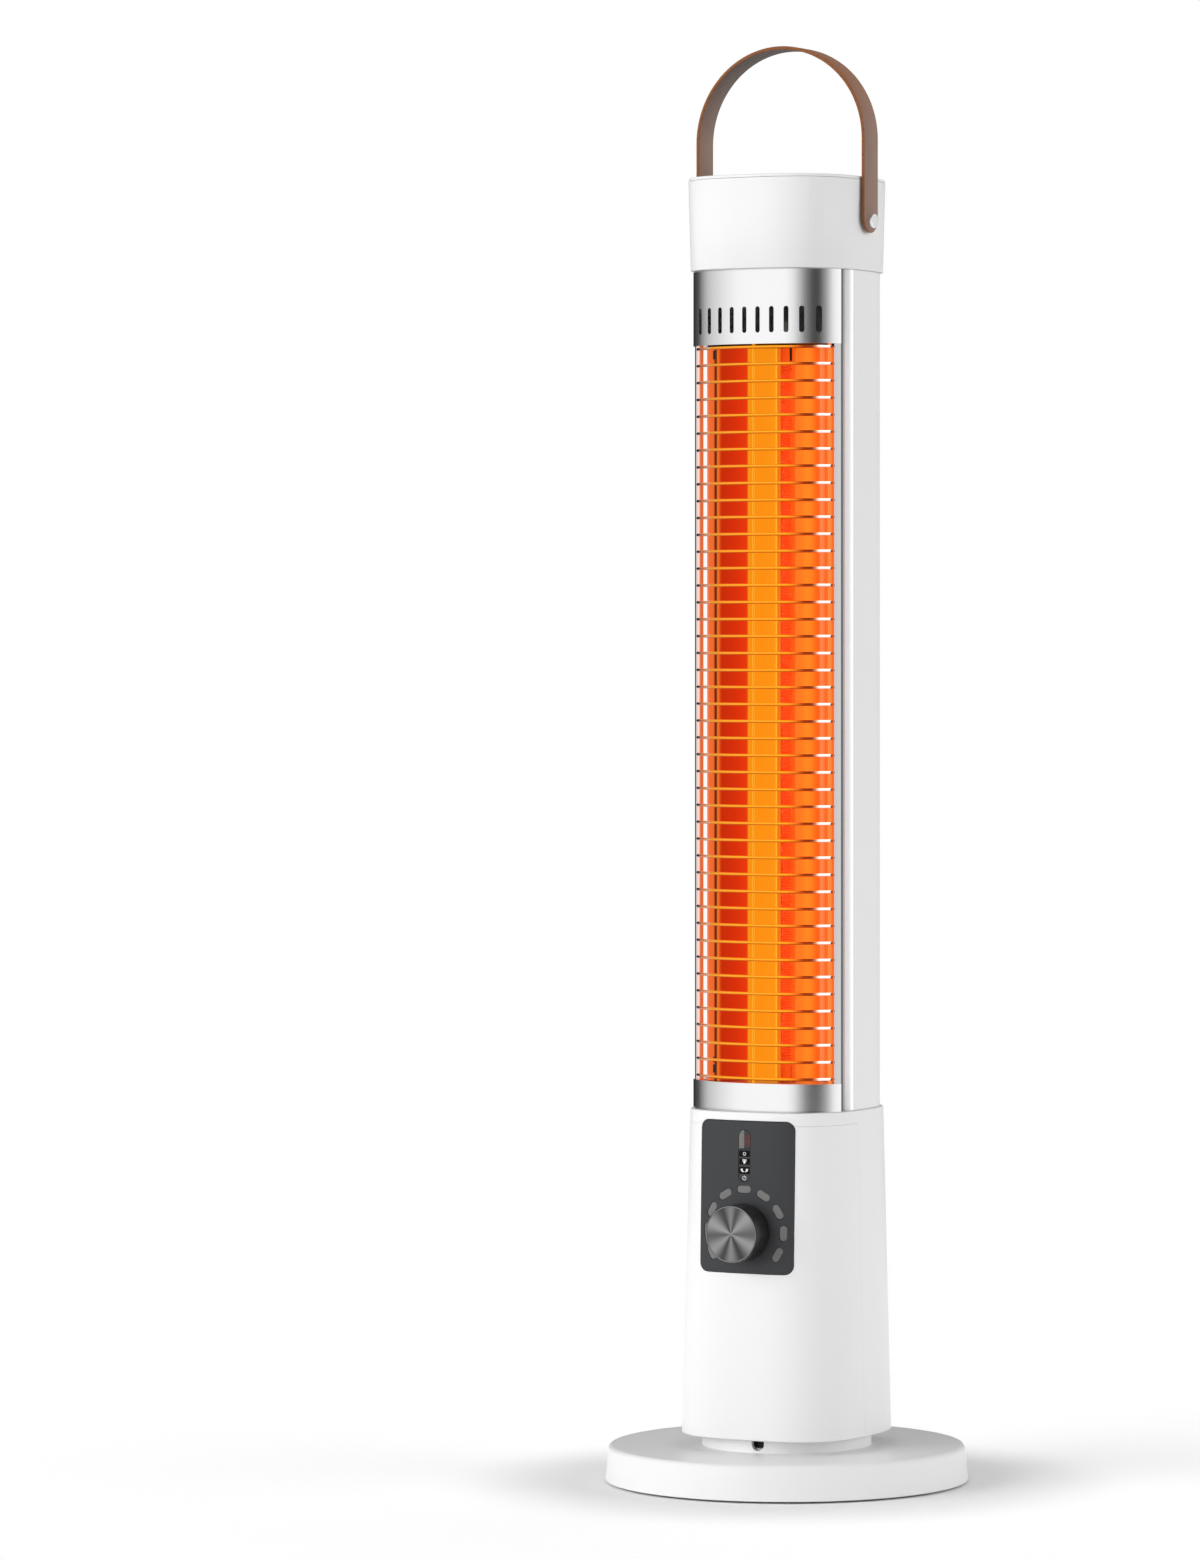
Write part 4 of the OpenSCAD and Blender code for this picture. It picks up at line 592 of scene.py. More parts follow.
def sheet_outline(path, t):
    """The outline of a sheet that lies to the left of a path."""
    def left(p, q):
        dx, dy = q[0] - p[0], q[1] - p[1]
        d = math.hypot(dx, dy)
        return -dy / d, dx / d

    last, back = len(path) - 1, []
    for i, p in enumerate(path):
        a = left(path[max(i - 1, 0)], path[max(i, 1)])
        b = left(path[min(i, last - 1)], path[min(i + 1, last)])
        s = t / (1 + a[0] * b[0] + a[1] * b[1])
        back.append((p[0] + s * (a[0] + b[0]), p[1] + s * (a[1] + b[1])))
    return path + back[::-1]


def stroke(points, width):
    """A flat line of a set width through points, as an outline."""
    line = sheet_outline(points, width / 2)[len(points):][::-1]
    return line + sheet_outline(points, -width / 2)[len(points):]


# Meshes

def smooth(mesh, angle=SMOOTH_ANGLE):
    mesh.shade_smooth()
    mesh.set_sharp_from_angle(angle=math.radians(angle))


def tidy_mesh(mesh, angle=SMOOTH_ANGLE, recalculate=True):
    """Merges doubles, turns the faces outwards where that is asked for, and smooths the shading."""
    work = bmesh.new()
    work.from_mesh(mesh)
    bmesh.ops.remove_doubles(work, verts=work.verts, dist=2e-7)
    if recalculate:
        bmesh.ops.recalc_face_normals(work, faces=work.faces)
    work.to_mesh(mesh)
    work.free()
    smooth(mesh, angle)


def make_piece(name, points, faces, angle=SMOOTH_ANGLE):
    mesh = bpy.data.meshes.new(name)
    mesh.from_pydata([tuple(MM * v for v in p) for p in points], [], faces)
    tidy_mesh(mesh, angle)
    return in_scene(name, mesh)


def ring_faces(rings, sides, closed):
    """The faces of a body through rings of points, with flat ends or closed round on itself."""
    faces = []
    for i in range(rings if closed else rings - 1):
        up = (i + 1) % rings
        for j in range(sides):
            k = (j + 1) % sides
            faces.append((i * sides + j, i * sides + k, up * sides + k, up * sides + j))
    if not closed:
        faces.append(tuple(range(sides))[::-1])
        faces.append(tuple((rings - 1) * sides + j for j in range(sides)))
    return faces


def loft(name, levels, closed=False, angle=SMOOTH_ANGLE):
    """A body through plans at given heights; closed, the plans go up the outside and down the inside."""
    points = [(x, y, z) for z, plan in levels for x, y in plan]
    return make_piece(name, points, ring_faces(len(levels), len(levels[0][1]), closed), angle)


def extrude_z(name, plan, z0, z1, angle=SMOOTH_ANGLE):
    return loft(name, [(z0, plan), (z1, plan)], angle=angle)


def extrude_y(name, outline, y0, y1):
    """Runs a flat outline, drawn across X and Z, along Y."""
    points = [(x, y, z) for y in (y0, y1) for x, z in outline]
    return make_piece(name, points, ring_faces(2, len(outline), False))


def revolve(name, profile, sides=128, closed=True, axis="Z", centre=(0, 0, 0)):
    """Turns a profile of (radius, height) round an upright axis, or round one along Y or X."""
    points = []
    for r, h in profile:
        for j in range(sides):
            a = 2 * math.pi * j / sides
            c, s = r * math.cos(a), r * math.sin(a)
            points.append({"Z": (c, s, h), "Y": (c, h, s), "X": (h, c, s)}[axis])
    points = [tuple(p[i] + centre[i] for i in range(3)) for p in points]
    return make_piece(name, points, ring_faces(len(profile), sides, closed))


def rod(r, low, high, sides, axis, centre):
    """A round tool of a radius, between two places on its axis."""
    return revolve("tool", [(0, low), (r, low), (r, high), (0, high)], sides, False, axis, centre)


def box_tool(x0, x1, y0, y1, z0, z1):
    return extrude_z("tool", [(x0, y0), (x1, y0), (x1, y1), (x0, y1)], z0, z1)


def settle(piece):
    """Turns a piece's modifiers into plain mesh."""
    bpy.context.view_layer.update()
    graph = bpy.context.evaluated_depsgraph_get()
    mesh = bpy.data.meshes.new_from_object(piece.evaluated_get(graph), preserve_all_data_layers=True,
                                           depsgraph=graph)
    piece.modifiers.clear()
    piece.data = mesh


def combine(target, tool, operation="DIFFERENCE"):
    """Cuts a tool out of the target, adds it, or keeps what they share, and removes the tool."""
    step = target.modifiers.new("cut", "BOOLEAN")
    step.object, step.operation, step.solver = tool, operation, "EXACT"
    settle(target)
    bpy.data.objects.remove(tool)
    tidy_mesh(target.data, recalculate=False)
    return target


def joined(name, pieces):
    """One piece that holds several, which are removed."""
    work = bmesh.new()
    for piece in pieces:
        work.from_mesh(piece.data)
    mesh = bpy.data.meshes.new(name)
    work.to_mesh(mesh)
    work.free()
    for piece in pieces:
        bpy.data.objects.remove(piece)
    smooth(mesh)
    return in_scene(name, mesh)


def keep_value(piece, name, rule):
    """Keeps a value for each face, worked out from its middle, in millimetres, and the way it faces."""
    kept = piece.data.attributes.new(name, "FLOAT", "FACE")
    for face in piece.data.polygons:
        kept.data[face.index].value = float(rule(face.center / MM, face.normal))


def add_on(piece, node, finish=None):
    """Gives a piece the finish, the slot and the body that go with a CAD node."""
    if not piece.data.materials:
        piece.data.materials.append(finish or FINISHES[SLOTS[node]])
    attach(piece, BODIES[node])


def fit(piece, node, finish=None):
    """Lets a piece stand for a CAD node."""
    add_on(piece, node, finish)
    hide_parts(node)


# Geometry Nodes

def start_rule(name, sizes):
    """A geometry tree with a named input for each size."""
    return group(name, {"Geometry": SHAPE, **sizes}, {"Geometry": SHAPE}, "GeometryNodeTree")


def end_rule(tree, out, shape, finish):
    """Ends a geometry tree with real mesh in one finish."""
    real = gn(tree, "RealizeInstances", {"Geometry": shape})
    feed(tree, out, {0: gn(tree, "SetMaterial", {"Geometry": real, "Material": finish})})
    return tree


def run_rule(piece, tree, sizes):
    """Applies a geometry tree with its named inputs, and keeps the result as plain mesh."""
    step = piece.modifiers.new("rule", "NODES")
    step.node_group = tree
    ids = {s.name: s.identifier for s in tree.interface.items_tree
           if s.item_type == "SOCKET" and s.in_out == "INPUT"}
    for key, value in sizes.items():
        step[ids[key]] = value
    piece.update_tag()
    settle(piece)


def gn(tree, kind, values=None, **settings):
    """Adds a Geometry Nodes node, and gives its first output."""
    return put(tree, "GeometryNode" + kind, values, **settings).outputs[0]


def vector(tree, **values):
    return put(tree, "ShaderNodeCombineXYZ", values).outputs[0]


def drawn_wire(tree, curve, sides, radius):
    """Gives a curve the thickness of a wire, with closed ends."""
    ring = gn(tree, "CurvePrimitiveCircle", {"Resolution": sides, "Radius": radius})
    return gn(tree, "CurveToMesh", {"Curve": curve, "Profile Curve": ring, "Fill Caps": True})


def make_guard_rule(sizes):
    """Wires one above the other, each bent along the same flattened arc."""
    tree, given, out = start_rule("Guard wires", sizes)
    left = vector(tree, X=maths(tree, "MULTIPLY", given["End"], -1.0))
    line = gn(tree, "CurvePrimitiveLine", {"Start": left, "End": vector(tree, X=given["End"])})
    fine = gn(tree, "ResampleCurve", {"Curve": line, "Count": 61})
    x = axes(tree, gn(tree, "InputPosition"))["X"]
    part = maths(tree, "DIVIDE", maths(tree, "ABSOLUTE", x), given["Half width"])
    rest = maths(tree, "SUBTRACT", 1.0, maths(tree, "POWER", part, given["Squareness"]))
    depth = maths(tree, "POWER", rest, maths(tree, "DIVIDE", 1.0, given["Squareness"]))
    y = maths(tree, "MULTIPLY", maths(tree, "MULTIPLY", depth, given["Reach"]), -1.0)
    bent = gn(tree, "SetPosition", {"Geometry": fine, "Position": vector(tree, X=x, Y=y)})
    wire = drawn_wire(tree, bent, 12, given["Wire radius"])
    rows = gn(tree, "MeshLine", {"Count": given["Wires"], "Offset": vector(tree, Z=given["Pitch"]),
                                 "Start Location": vector(tree, Z=given["Lowest wire"])}, mode="OFFSET")
    copies = gn(tree, "InstanceOnPoints", {"Points": rows, "Instance": wire})
    return end_rule(tree, out, copies, FINISHES["guard_steel"])


def make_coil_rule(sizes):
    """A close coil of fine wire that climbs the axis."""
    tree, given, out = start_rule("Heating coil", sizes)
    spiral = gn(tree, "CurveSpiral", {
        "Resolution": 14, "Rotations": given["Curls"], "Height": given["Height"],
        "Start Radius": given["Coil radius"], "End Radius": given["Coil radius"]})
    lifted = gn(tree, "Transform", {"Geometry": spiral, "Translation": vector(tree, Z=given["Foot"])})
    stray = put(tree, "ShaderNodeTexNoise", {"Scale": 170.0, "Detail": 1.0, "W": given["Seed"]},
                noise_dimensions="4D").outputs["Color"]
    centred = put(tree, "ShaderNodeVectorMath", {0: stray, 1: grey(0.5)}, operation="SUBTRACT").outputs[0]
    wavy = gn(tree, "SetPosition", {"Geometry": lifted, "Offset": scaled(tree, centred, given["Waver"])})
    return end_rule(tree, out, drawn_wire(tree, wavy, 5, given["Wire radius"]), FINISHES["heating_wire"])


def make_slot_rule(name, sizes, finish):
    """Cuts a row of round-ended slots, run along Y, out of a casing."""
    tree, given, out = start_rule(name, sizes)
    sharp = gn(tree, "CurvePrimitiveQuadrilateral", {"Width": given["Width"], "Height": given["Height"]})
    radius = maths(tree, "MULTIPLY", maths(tree, "MINIMUM", given["Width"], given["Height"]), 0.4999)
    rounded = gn(tree, "FilletCurve", {"Curve": sharp, "Radius": radius, "Count": 8}, mode="POLY")
    flat = gn(tree, "FillCurve", {"Curve": rounded}, mode="NGONS")
    deep = gn(tree, "ExtrudeMesh", {"Mesh": flat, "Offset": (0.0, 0.0, 1.0), "Offset Scale": given["Depth"],
                                    "Individual": False}, mode="FACES")
    whole = put(tree, "GeometryNodeJoinGeometry")
    for part in (deep, gn(tree, "FlipFaces", {"Mesh": flat})):
        tree.links.new(part, whole.inputs[0])
    sealed = gn(tree, "MergeByDistance", {"Geometry": whole.outputs[0], "Distance": 0.000001})
    lying = gn(tree, "Transform", {"Geometry": sealed, "Rotation": (math.pi / 2, 0.0, 0.0)})
    row = gn(tree, "MeshLine", {"Count": given["Slots"], "Start Location": given["First slot"],
                                "Offset": given["Step"]}, mode="OFFSET")
    copies = gn(tree, "InstanceOnPoints", {"Points": row, "Instance": lying})
    tools = gn(tree, "RealizeInstances", {"Geometry": copies})
    cut = gn(tree, "MeshBoolean", {"Mesh 1": given["Geometry"], "Mesh 2": tools}, operation="DIFFERENCE",
             solver="EXACT")
    return end_rule(tree, out, cut, finish)


# Pieces of the base

def base_cover():
    r, hole, rim, wall, edge, lean = 120.0, 34, 1.4, 3.0, 3.0, 2.3

    def side(z):
        return r - lean * (z - rim) / (BASE_TOP - rim)

    profile = [(hole, BASE_TOP - wall), (hole, BASE_TOP)]
    profile += arc(side(BASE_TOP - edge) - edge, BASE_TOP - edge, edge, 90, 0, 10)
    profile += arc(r - 0.5, rim + 0.5, 0.5, 0, -90, 4)
    profile += [(r - wall, rim), (side(BASE_TOP - wall) - wall, BASE_TOP - wall)]
    gland = rod(4.55, 100, 130, sides=48, axis="Y", centre=(0, 0, 12.75))
    fit(combine(revolve("smooth_base_cover", profile, 192), gland), "base_cover")


def swivel_collar():
    """The collar round the post, with its notch turned a little to the right, and the stop pin."""
    bore, neck, r, wall = 12.3, 33.8, 56, 52.0
    foot, floor, top, edge = 21.5, 27, 32.8, 0.4
    profile = [(bore, foot), (neck, foot), (neck, BASE_TOP), (r, BASE_TOP), (r, top - edge), (r - edge, top),
               (wall, top), (wall, floor), (bore, floor)]
    piece = revolve("smooth_swivel_collar", profile, 192)
    notch_r, notch_depth, clear = 4.25, 7, 40
    outline = arc(0, top - notch_depth + notch_r, notch_r, 180, 360, 16)
    notch = extrude_y("tool", outline + [(notch_r, clear), (-notch_r, clear)], -60, -51)
    notch.data.transform(Matrix.Rotation(math.radians(7.5), 4, "Z"))
    combine(piece, notch)
    pin = rod(2, 25, 38.1, sides=24, axis="Z", centre=(0, -36, 0))
    fit(joined("smooth_swivel_collar", [piece, pin]), "swivel_collar")


# Pieces of the lower housing

def panel_outline(gap=0.0):
    """The panel's outline, with round corners, larger by a gap all round."""
    r = 6
    x, z = PANEL_W / 2 - r, PANEL_H / 2 - r
    corners = ((x, z, 0), (-x, z, 90), (-x, -z, 180), (x, -z, 270))
    return [point for cx, cz, turn in corners for point in arc(cx, PANEL_Z + cz, r + gap, turn, turn + 90)]


def panel_tool():
    return extrude_y("tool", panel_outline(0.2), -90, -20)


def screw_seat(x, z):
    """A screw's hole in the housing's back, and the seat of its head."""
    hole, head = 1.65, 3.15
    w, _, back = housing_size(z)
    seat = -curve_y(x, w, back, CASING_POWER) - 0.6
    profile = [(0, seat - 3), (hole, seat - 3), (hole, seat), (head, seat), (head, seat + 9), (0, seat + 9)]
    return revolve("tool", profile, 32, False, "Y", (x, 0, z))


def lower_shells():
    """The housing's two shells, cut from the same wall along a seam."""
    edge, wall, joint = 1.2, 2.4, 0.12
    levels = [plan_at(housing_size, HOUSING_FOOT, edge)]
    levels += [plan_at(housing_size, HOUSING_FOOT, edge * (1 - math.sin(a)), edge * (1 - math.cos(a)))
               for a in (0.5, 1.05)]
    levels += [plan_at(housing_size, z) for z in (HOUSING_FOOT + edge, HOUSING_TOP - 0.5)]
    levels += [plan_at(housing_size, HOUSING_TOP, 0.4)]
    levels += [plan_at(housing_size, z, wall) for z in (HOUSING_TOP, HOUSING_FOOT)]
    front = loft("smooth_lower_front_shell", levels, True)
    rear = loft("smooth_lower_rear_shell", levels, True)
    combine(front, box_tool(-70, 70, -70, SEAM_Y - joint, 20, SEAM_Z - joint), "INTERSECT")
    fit(combine(front, panel_tool()), "lower_front_shell")
    combine(rear, box_tool(-70, 70, -80, SEAM_Y, 20, SEAM_Z))
    combine(rear, panel_tool())
    for x in (-30, 30):
        for share in (0.14, 0.88):
            combine(rear, screw_seat(x, mix(HOUSING_FOOT, HOUSING_TOP, share)))
    fit(rear, "lower_rear_shell")


def fine_slab(name, x0, x1, z0, z1, depth, step):
    """A flat slab whose front and back are fine grids, ready to be bent."""
    nx, nz = max(2, round((x1 - x0) / step)), max(2, round((z1 - z0) / (2 * step)))
    points = [(mix(x0, x1, i / nx), y, mix(z0, z1, j / nz))
              for y in (0.0, depth) for j in range(nz + 1) for i in range(nx + 1)]
    row, layer = nx + 1, (nx + 1) * (nz + 1)
    faces = []
    for j in range(nz):
        for i in range(nx):
            a = j * row + i
            faces.append((a, a + 1, a + row + 1, a + row))
            faces.append((layer + a, layer + a + row, layer + a + row + 1, layer + a + 1))
    edge = [j * row for j in range(nz)] + [nz * row + i for i in range(nx)]
    edge += [(nz - j) * row + nx for j in range(nz)] + [nx - i for i in range(nx)]
    faces += [(a, b, layer + b, layer + a) for a, b in zip(edge, edge[1:] + edge[:1])]
    return make_piece(name, points, faces)


def bent_plate(name, outline, out, depth, bevel, cutters=(), step=1.6):
    """A thin plate cut flat in a fine grid, then laid on the housing's curved front."""
    margin = 1
    xs, zs = [x for x, _ in outline], [z for _, z in outline]
    x0, x1, z0, z1 = min(xs), max(xs), min(zs), max(zs)
    plate = fine_slab(name, x0 - margin, x1 + margin, z0 - margin, z1 + margin, depth, step)
    cx, cz = (x0 + x1) / 2, (z0 + z1) / 2
    narrow = (1 - 2 * bevel / (x1 - x0), 1 - 2 * bevel / (z1 - z0))
    rings = [(-1.0, narrow), (0.0, narrow), (bevel, (1, 1)), (depth + 1, (1, 1))]
    points = [(cx + (x - cx) * s[0], y, cz + (z - cz) * s[1]) for y, s in rings for x, z in outline]
    mould = make_piece("tool", points, ring_faces(len(rings), len(outline), False))
    combine(plate, mould, "INTERSECT")
    for cutter in cutters:
        combine(plate, extrude_y("tool", cutter, -2, depth + 2))
    for v in plate.data.vertices:
        x, y, z = (c / MM for c in v.co)
        v.co.y = MM * (front_y(x, z, out) + y)
    tidy_mesh(plate.data, 30, False)
    return plate


def receiver_outline(gap):
    r, foot = STRIP_R - gap, RECEIVER_FOOT + gap
    return arc(0, STRIP_TOP - STRIP_R, r, 0, 180, 16) + [(-r, foot), (r, foot)]


def icon_outline(gap):
    r, top = STRIP_R - gap, ICON_TOP - gap
    return [(r, top), (-r, top)] + arc(0, ICON_FOOT + STRIP_R, r, 180, 360, 16)


def level_outline(turn, gap):
    """A pill-shaped light window on the ring round the knob."""
    ring = 27.9
    c, s = math.cos(turn), math.sin(turn)
    return [(ring * s + x * c + z * s, KNOB_Z + ring * c - x * s + z * c)
            for x, z in pill(10.6 - 2 * gap, 5.4 - 2 * gap)]


def control_panel():
    """The panel with its holes, and the windows that sit in them."""
    gap = 0.12
    turns = [math.radians(30 * (i - 4)) for i in range(9)]
    cutters = [level_outline(turn, 0) for turn in turns]
    cutters += [receiver_outline(0), icon_outline(0), arc(0, KNOB_Z, 4.9, 0, 352, 44)]
    panel = bent_plate("curved_control_panel", panel_outline(), out=0.6, depth=2.0, bevel=0.35,
                       cutters=cutters)
    fit(panel, "control_panel")
    windows = [bent_plate("window", level_outline(turn, gap), out=0.55, depth=1.9, bevel=0.35, step=1.2)
               for turn in turns]
    fit(joined("curved_level_windows", windows), "level_windows")
    receiver = bent_plate("curved_receiver_window", receiver_outline(gap), out=0.55, depth=1.9, bevel=0.3)
    fit(receiver, "receiver_window")
    strip = bent_plate("curved_icon_window", icon_outline(gap), out=0.3, depth=1.6, bevel=0.2)
    fit(strip, "icon_window", FINISHES["panel_plastic"])


def icon_cells():
    """Four black cells under the receiver, the last one round at its foot."""
    half = 3.9
    cells = [[(half, top), (-half, top), (-half, foot), (half, foot)]
             for top, foot in ((222.1, 218.3), (217.0, 213.1), (211.6, 207.0))]
    top, foot = 205.9, 202.1
    cells.append([(half, top), (-half, top)] + arc(0, foot + half, half, 180, 360, 14))
    plates = [bent_plate("cell", cell, out=0.42, depth=0.3, bevel=0.08) for cell in cells]
    add_on(joined("icon_cells", plates), "icon_window", FINISHES["icon_plastic"])


def icon_marks():
    """A ring, a heater with its rays, two swing arrows and the power sign."""
    ring, heater, swing, power = 220.2, 215.1, 209.2, 204.4
    pen, bold, out, depth = 0.34, 0.75, 0.46, 0.12
    shapes = [stroke(arc(0, ring, 0.95, 100, 440, 24), pen)]
    shapes.append([(x, heater + z) for x, z in ((-1.5, 1.35), (-1.5, 0.7), (1.5, 0.7), (1.5, 1.35))])
    shapes.append([(x, heater + z) for x, z in ((-0.85, 0.45), (-0.6, -1.3), (0.6, -1.3), (0.85, 0.45))])
    for side in (-1, 1):
        shapes.append(stroke([(side * 1.15, heater + 0.4), (side * 1.3, heater - 0.2)], 0.3))
        shapes.append(stroke(arc(0, swing + 1.0, 1.9, 270 + side * 18, 270 + side * 62), bold))
        shapes.append([(side * x, swing + z) for x, z in ((2.75, 1.2), (0.95, 1.15), (2.3, -0.75))])
    shapes.append(stroke(arc(0, power, 1.25, 120, 420, 20), pen))
    shapes.append(stroke([(0, power + 0.1), (0, power + 1.7)], pen))
    marks = []
    for shape in shapes:
        points = [(x, front_y(x, z, out) + d, z) for d in (0.0, depth) for x, z in shape]
        marks.append(make_piece("mark", points, ring_faces(2, len(shape), False)))
    add_on(joined("icon_marks", marks), "icon_window", WHITE_MARK)


def knob():
    """The knob's body with its skirt and hub, its spun face, and the bright rim between them."""
    def turned(name, profile):
        return revolve(name, profile, axis="Y", centre=(0, 0, KNOB_Z))

    r, soft, skirt, sink, axis_r = 18.8, 0.6, 2.2, 0.8, 0.001
    hub, shaft, hub_end, face_r = 5.5, 2.05, 1.6, 17.7
    reach, gap, face_wall = 18.8, 2.2, 3.0
    front, back = front_y(0, KNOB_Z, reach), front_y(0, KNOB_Z, gap)
    floor = front + face_wall
    profile = [(face_r, front + sink), (face_r, front + 0.1), (face_r + 0.1, front), (r - soft, front)]
    profile += [(r - soft + soft * math.sin(a), front + soft * (1 - math.cos(a))) for a in (0.5, 1.0, 1.57)]
    profile += [(r, back - 0.4), (r - 0.4, back), (r - skirt, back), (r - skirt, floor), (hub, floor),
                (hub, back - hub_end), (shaft, back - hub_end), (shaft, floor), (axis_r, floor),
                (axis_r, front + sink)]
    fit(turned("turned_knob_body", profile), "knob_body")
    disc_r = face_r - 0.05
    disc = [(axis_r, front + sink), (disc_r, front + sink), (disc_r, front + 0.12),
            (face_r - 0.2, front + 0.02), (face_r - 0.5, front), (8, front + 0.1), (axis_r, front + 0.2)]
    fit(turned("turned_knob_face", disc), "knob_face")
    rim_in, rim_out, proud = 17.8, 18.7, 0.01
    rim = [(rim_in, front - proud), (rim_out - 0.45, front - proud), (rim_out, front + 0.32),
           (rim_out, front + 0.4), (rim_out - 0.5, front + 0.2), (rim_in, front + 0.2)]
    add_on(turned("bright_knob_rim", rim), "knob_body", RIM_METAL)


# Pieces of the column

def rear_housing():
    """The white casing behind the lamp, with its folded front edges and its vents."""
    w, depth, sides, wall = 56, 58.5, 96, 2
    power = 2 / CASING_POWER
    fold_x, fold_y, fold_r = 53.5, -13.5, 2.5
    edge = [(51.4, fold_y - fold_r)] + arc(fold_x, fold_y, fold_r, -90, 0)
    turns = [math.pi * i / sides for i in range(sides + 1)]
    back = [(w * signed_power(math.cos(t), power), depth * abs(math.sin(t)) ** power) for t in turns]
    path = edge + back + [(-x, y) for x, y in edge[::-1]]
    piece = extrude_z("smooth_rear_housing", sheet_outline(path, wall), COLUMN_FOOT, COLUMN_TOP)
    sizes = {"Slots": 3, "First slot": (0.0, 0.11, 0.2631), "Step": (0.0, 0.0, 0.008), "Width": 0.04,
             "Height": 0.003, "Depth": 0.1}
    rule = make_slot_rule("Rear vents", sizes, WHITE_WITH_PAINTED_EDGE_GLOW)
    run_rule(piece, rule, sizes)
    run_rule(piece, rule, {**sizes, "Slots": 2, "First slot": (0.0, 0.11, 0.783)})
    tidy_mesh(piece.data, recalculate=False)
    keep_value(piece, "front_edge", lambda c, n: c.y < -13.3 and n.y < -0.05)
    fit(piece, "rear_housing")


def side_rails():
    """The two rails between the band's ends and the rear casing: a web, and a lip that follows the band."""
    inset, wall, web, lip_end, back = 1.1, 0.6, 51.5, 54.1, -16.3
    xs = [mix(web, lip_end, i / 8) for i in range(9)]
    outline = sheet_outline([(x, band_y(x, inset)) for x in xs], wall)
    outline = [(web - wall, band_y(web, inset)), *outline, (web, back), (web - wall, back)]
    rails = [extrude_z("rail", [(side * x, y) for x, y in outline], COLUMN_FOOT, COLUMN_TOP)
             for side in (-1, 1)]
    piece = joined("fine_side_rails", rails)
    keep_value(piece, "inner_side", lambda c, n: c.x * n.x < -25)
    keep_value(piece, "outer_side", lambda c, n: c.x * n.x > 48)
    fit(piece, "side_rails", RAIL_STEEL)


def bands():
    """The plain band at the foot of the guard, and the one with ten slots at its head."""
    half, steps, wall = 54.8, 72, 0.8
    xs = [-half * math.cos(math.pi * i / steps) for i in range(steps + 1)]
    outline = sheet_outline([(x, band_y(x)) for x in xs], wall)
    fit(extrude_z("smooth_bottom_band", outline, COLUMN_FOOT, OPENING_FOOT), "bottom_band")
    top = extrude_z("smooth_top_band", outline, OPENING_HEAD, COLUMN_TOP)
    pitch = 0.00976
    sizes = {"Slots": 10, "First slot": (-4.5 * pitch, 0.0, 0.76565), "Step": (pitch, 0.0, 0.0),
             "Width": 0.0032, "Height": 0.0173, "Depth": 0.08}
    run_rule(top, make_slot_rule("Band slots", sizes, FINISHES["brushed_band"]), sizes)
    tidy_mesh(top.data, recalculate=False)
    fit(top, "top_band")


def reflector():
    """One folded sheet, with a narrow groove near each edge."""
    edge_y, groove_y, foot, head = -13.7, -11.2, 263.7, 751.1
    half = [(16, 17), (33, 8), (43.6, edge_y), (45.2, edge_y), (45.2, groove_y), (46.6, groove_y),
            (46.6, edge_y), (53.4, edge_y)]
    path = [(-x, y) for x, y in half[::-1]] + half
    piece = extrude_z("folded_reflector", sheet_outline(path, 0.5), foot, head, angle=12)
    keep_value(piece, "lit_side", lambda c, n: n.y < 0.3)
    fit(piece, "reflector")


def mirror_clips():
    """Black spring clips on the sheet's long edges, with soft corners in front. Their black is painted
    shade, standing for the dark of openings at the ends of the grooves.
    """
    x0, x1, y0, y1, soft = 46.2, 47.7, -14.5, -13.75, 0.3
    corner = ((0, soft), (0.1, 0.1), (soft, 0))
    plan = [(x0, y1), *((x0 + a, y0 + b) for a, b in corner)]
    plan += [*((x1 - a, y0 + b) for a, b in corner[::-1]), (x1, y1)]
    clips = [extrude_z("clip", [(side * x, y) for x, y in plan[::side]], low, high)
             for side in (-1, 1) for low, high in ((269.0, 274.4), (276.0, 279.4), (741.8, 747.6))]
    add_on(joined("mirror_clips", clips), "reflector", FINISHES["black_plastic"])


def lamp():
    """The quartz tube, and the hot coil within it."""
    inner, outer, foot, head = 5.05, 6.25, 250.4, 764.4
    tube = revolve("clear_quartz_tube", [(inner, foot), (inner, head), (outer, head), (outer, foot)], 48)
    fit(tube, "quartz_tube")
    coil = in_scene("fine_heating_coil", bpy.data.meshes.new("fine_heating_coil"))
    sizes = {"Curls": 260.0, "Foot": 0.2756, "Height": 0.4636, "Coil radius": 0.0029, "Wire radius": 0.00021,
             "Waver": 0.0032, "Seed": 4.0}
    run_rule(coil, make_coil_rule(sizes), sizes)
    coil.data.shade_smooth()
    fit(coil, "heating_coil")


def guard():
    wires = in_scene("round_guard_wires", bpy.data.meshes.new("round_guard_wires"))
    sizes = {"Wires": 44, "Lowest wire": 0.2686, "Pitch": 0.0111442, "Half width": 0.0616, "Reach": 0.0495,
             "Squareness": BAND_POWER, "End": 0.0498, "Wire radius": 0.001}
    run_rule(wires, make_guard_rule(sizes), sizes)
    smooth(wires.data, 50)
    fit(wires, "guard_wires")


# The cap and the handle

def handle_hole():
    return rod(2.55, -80, 80, sides=32, axis="X", centre=(0, 0, HANDLE_Z))


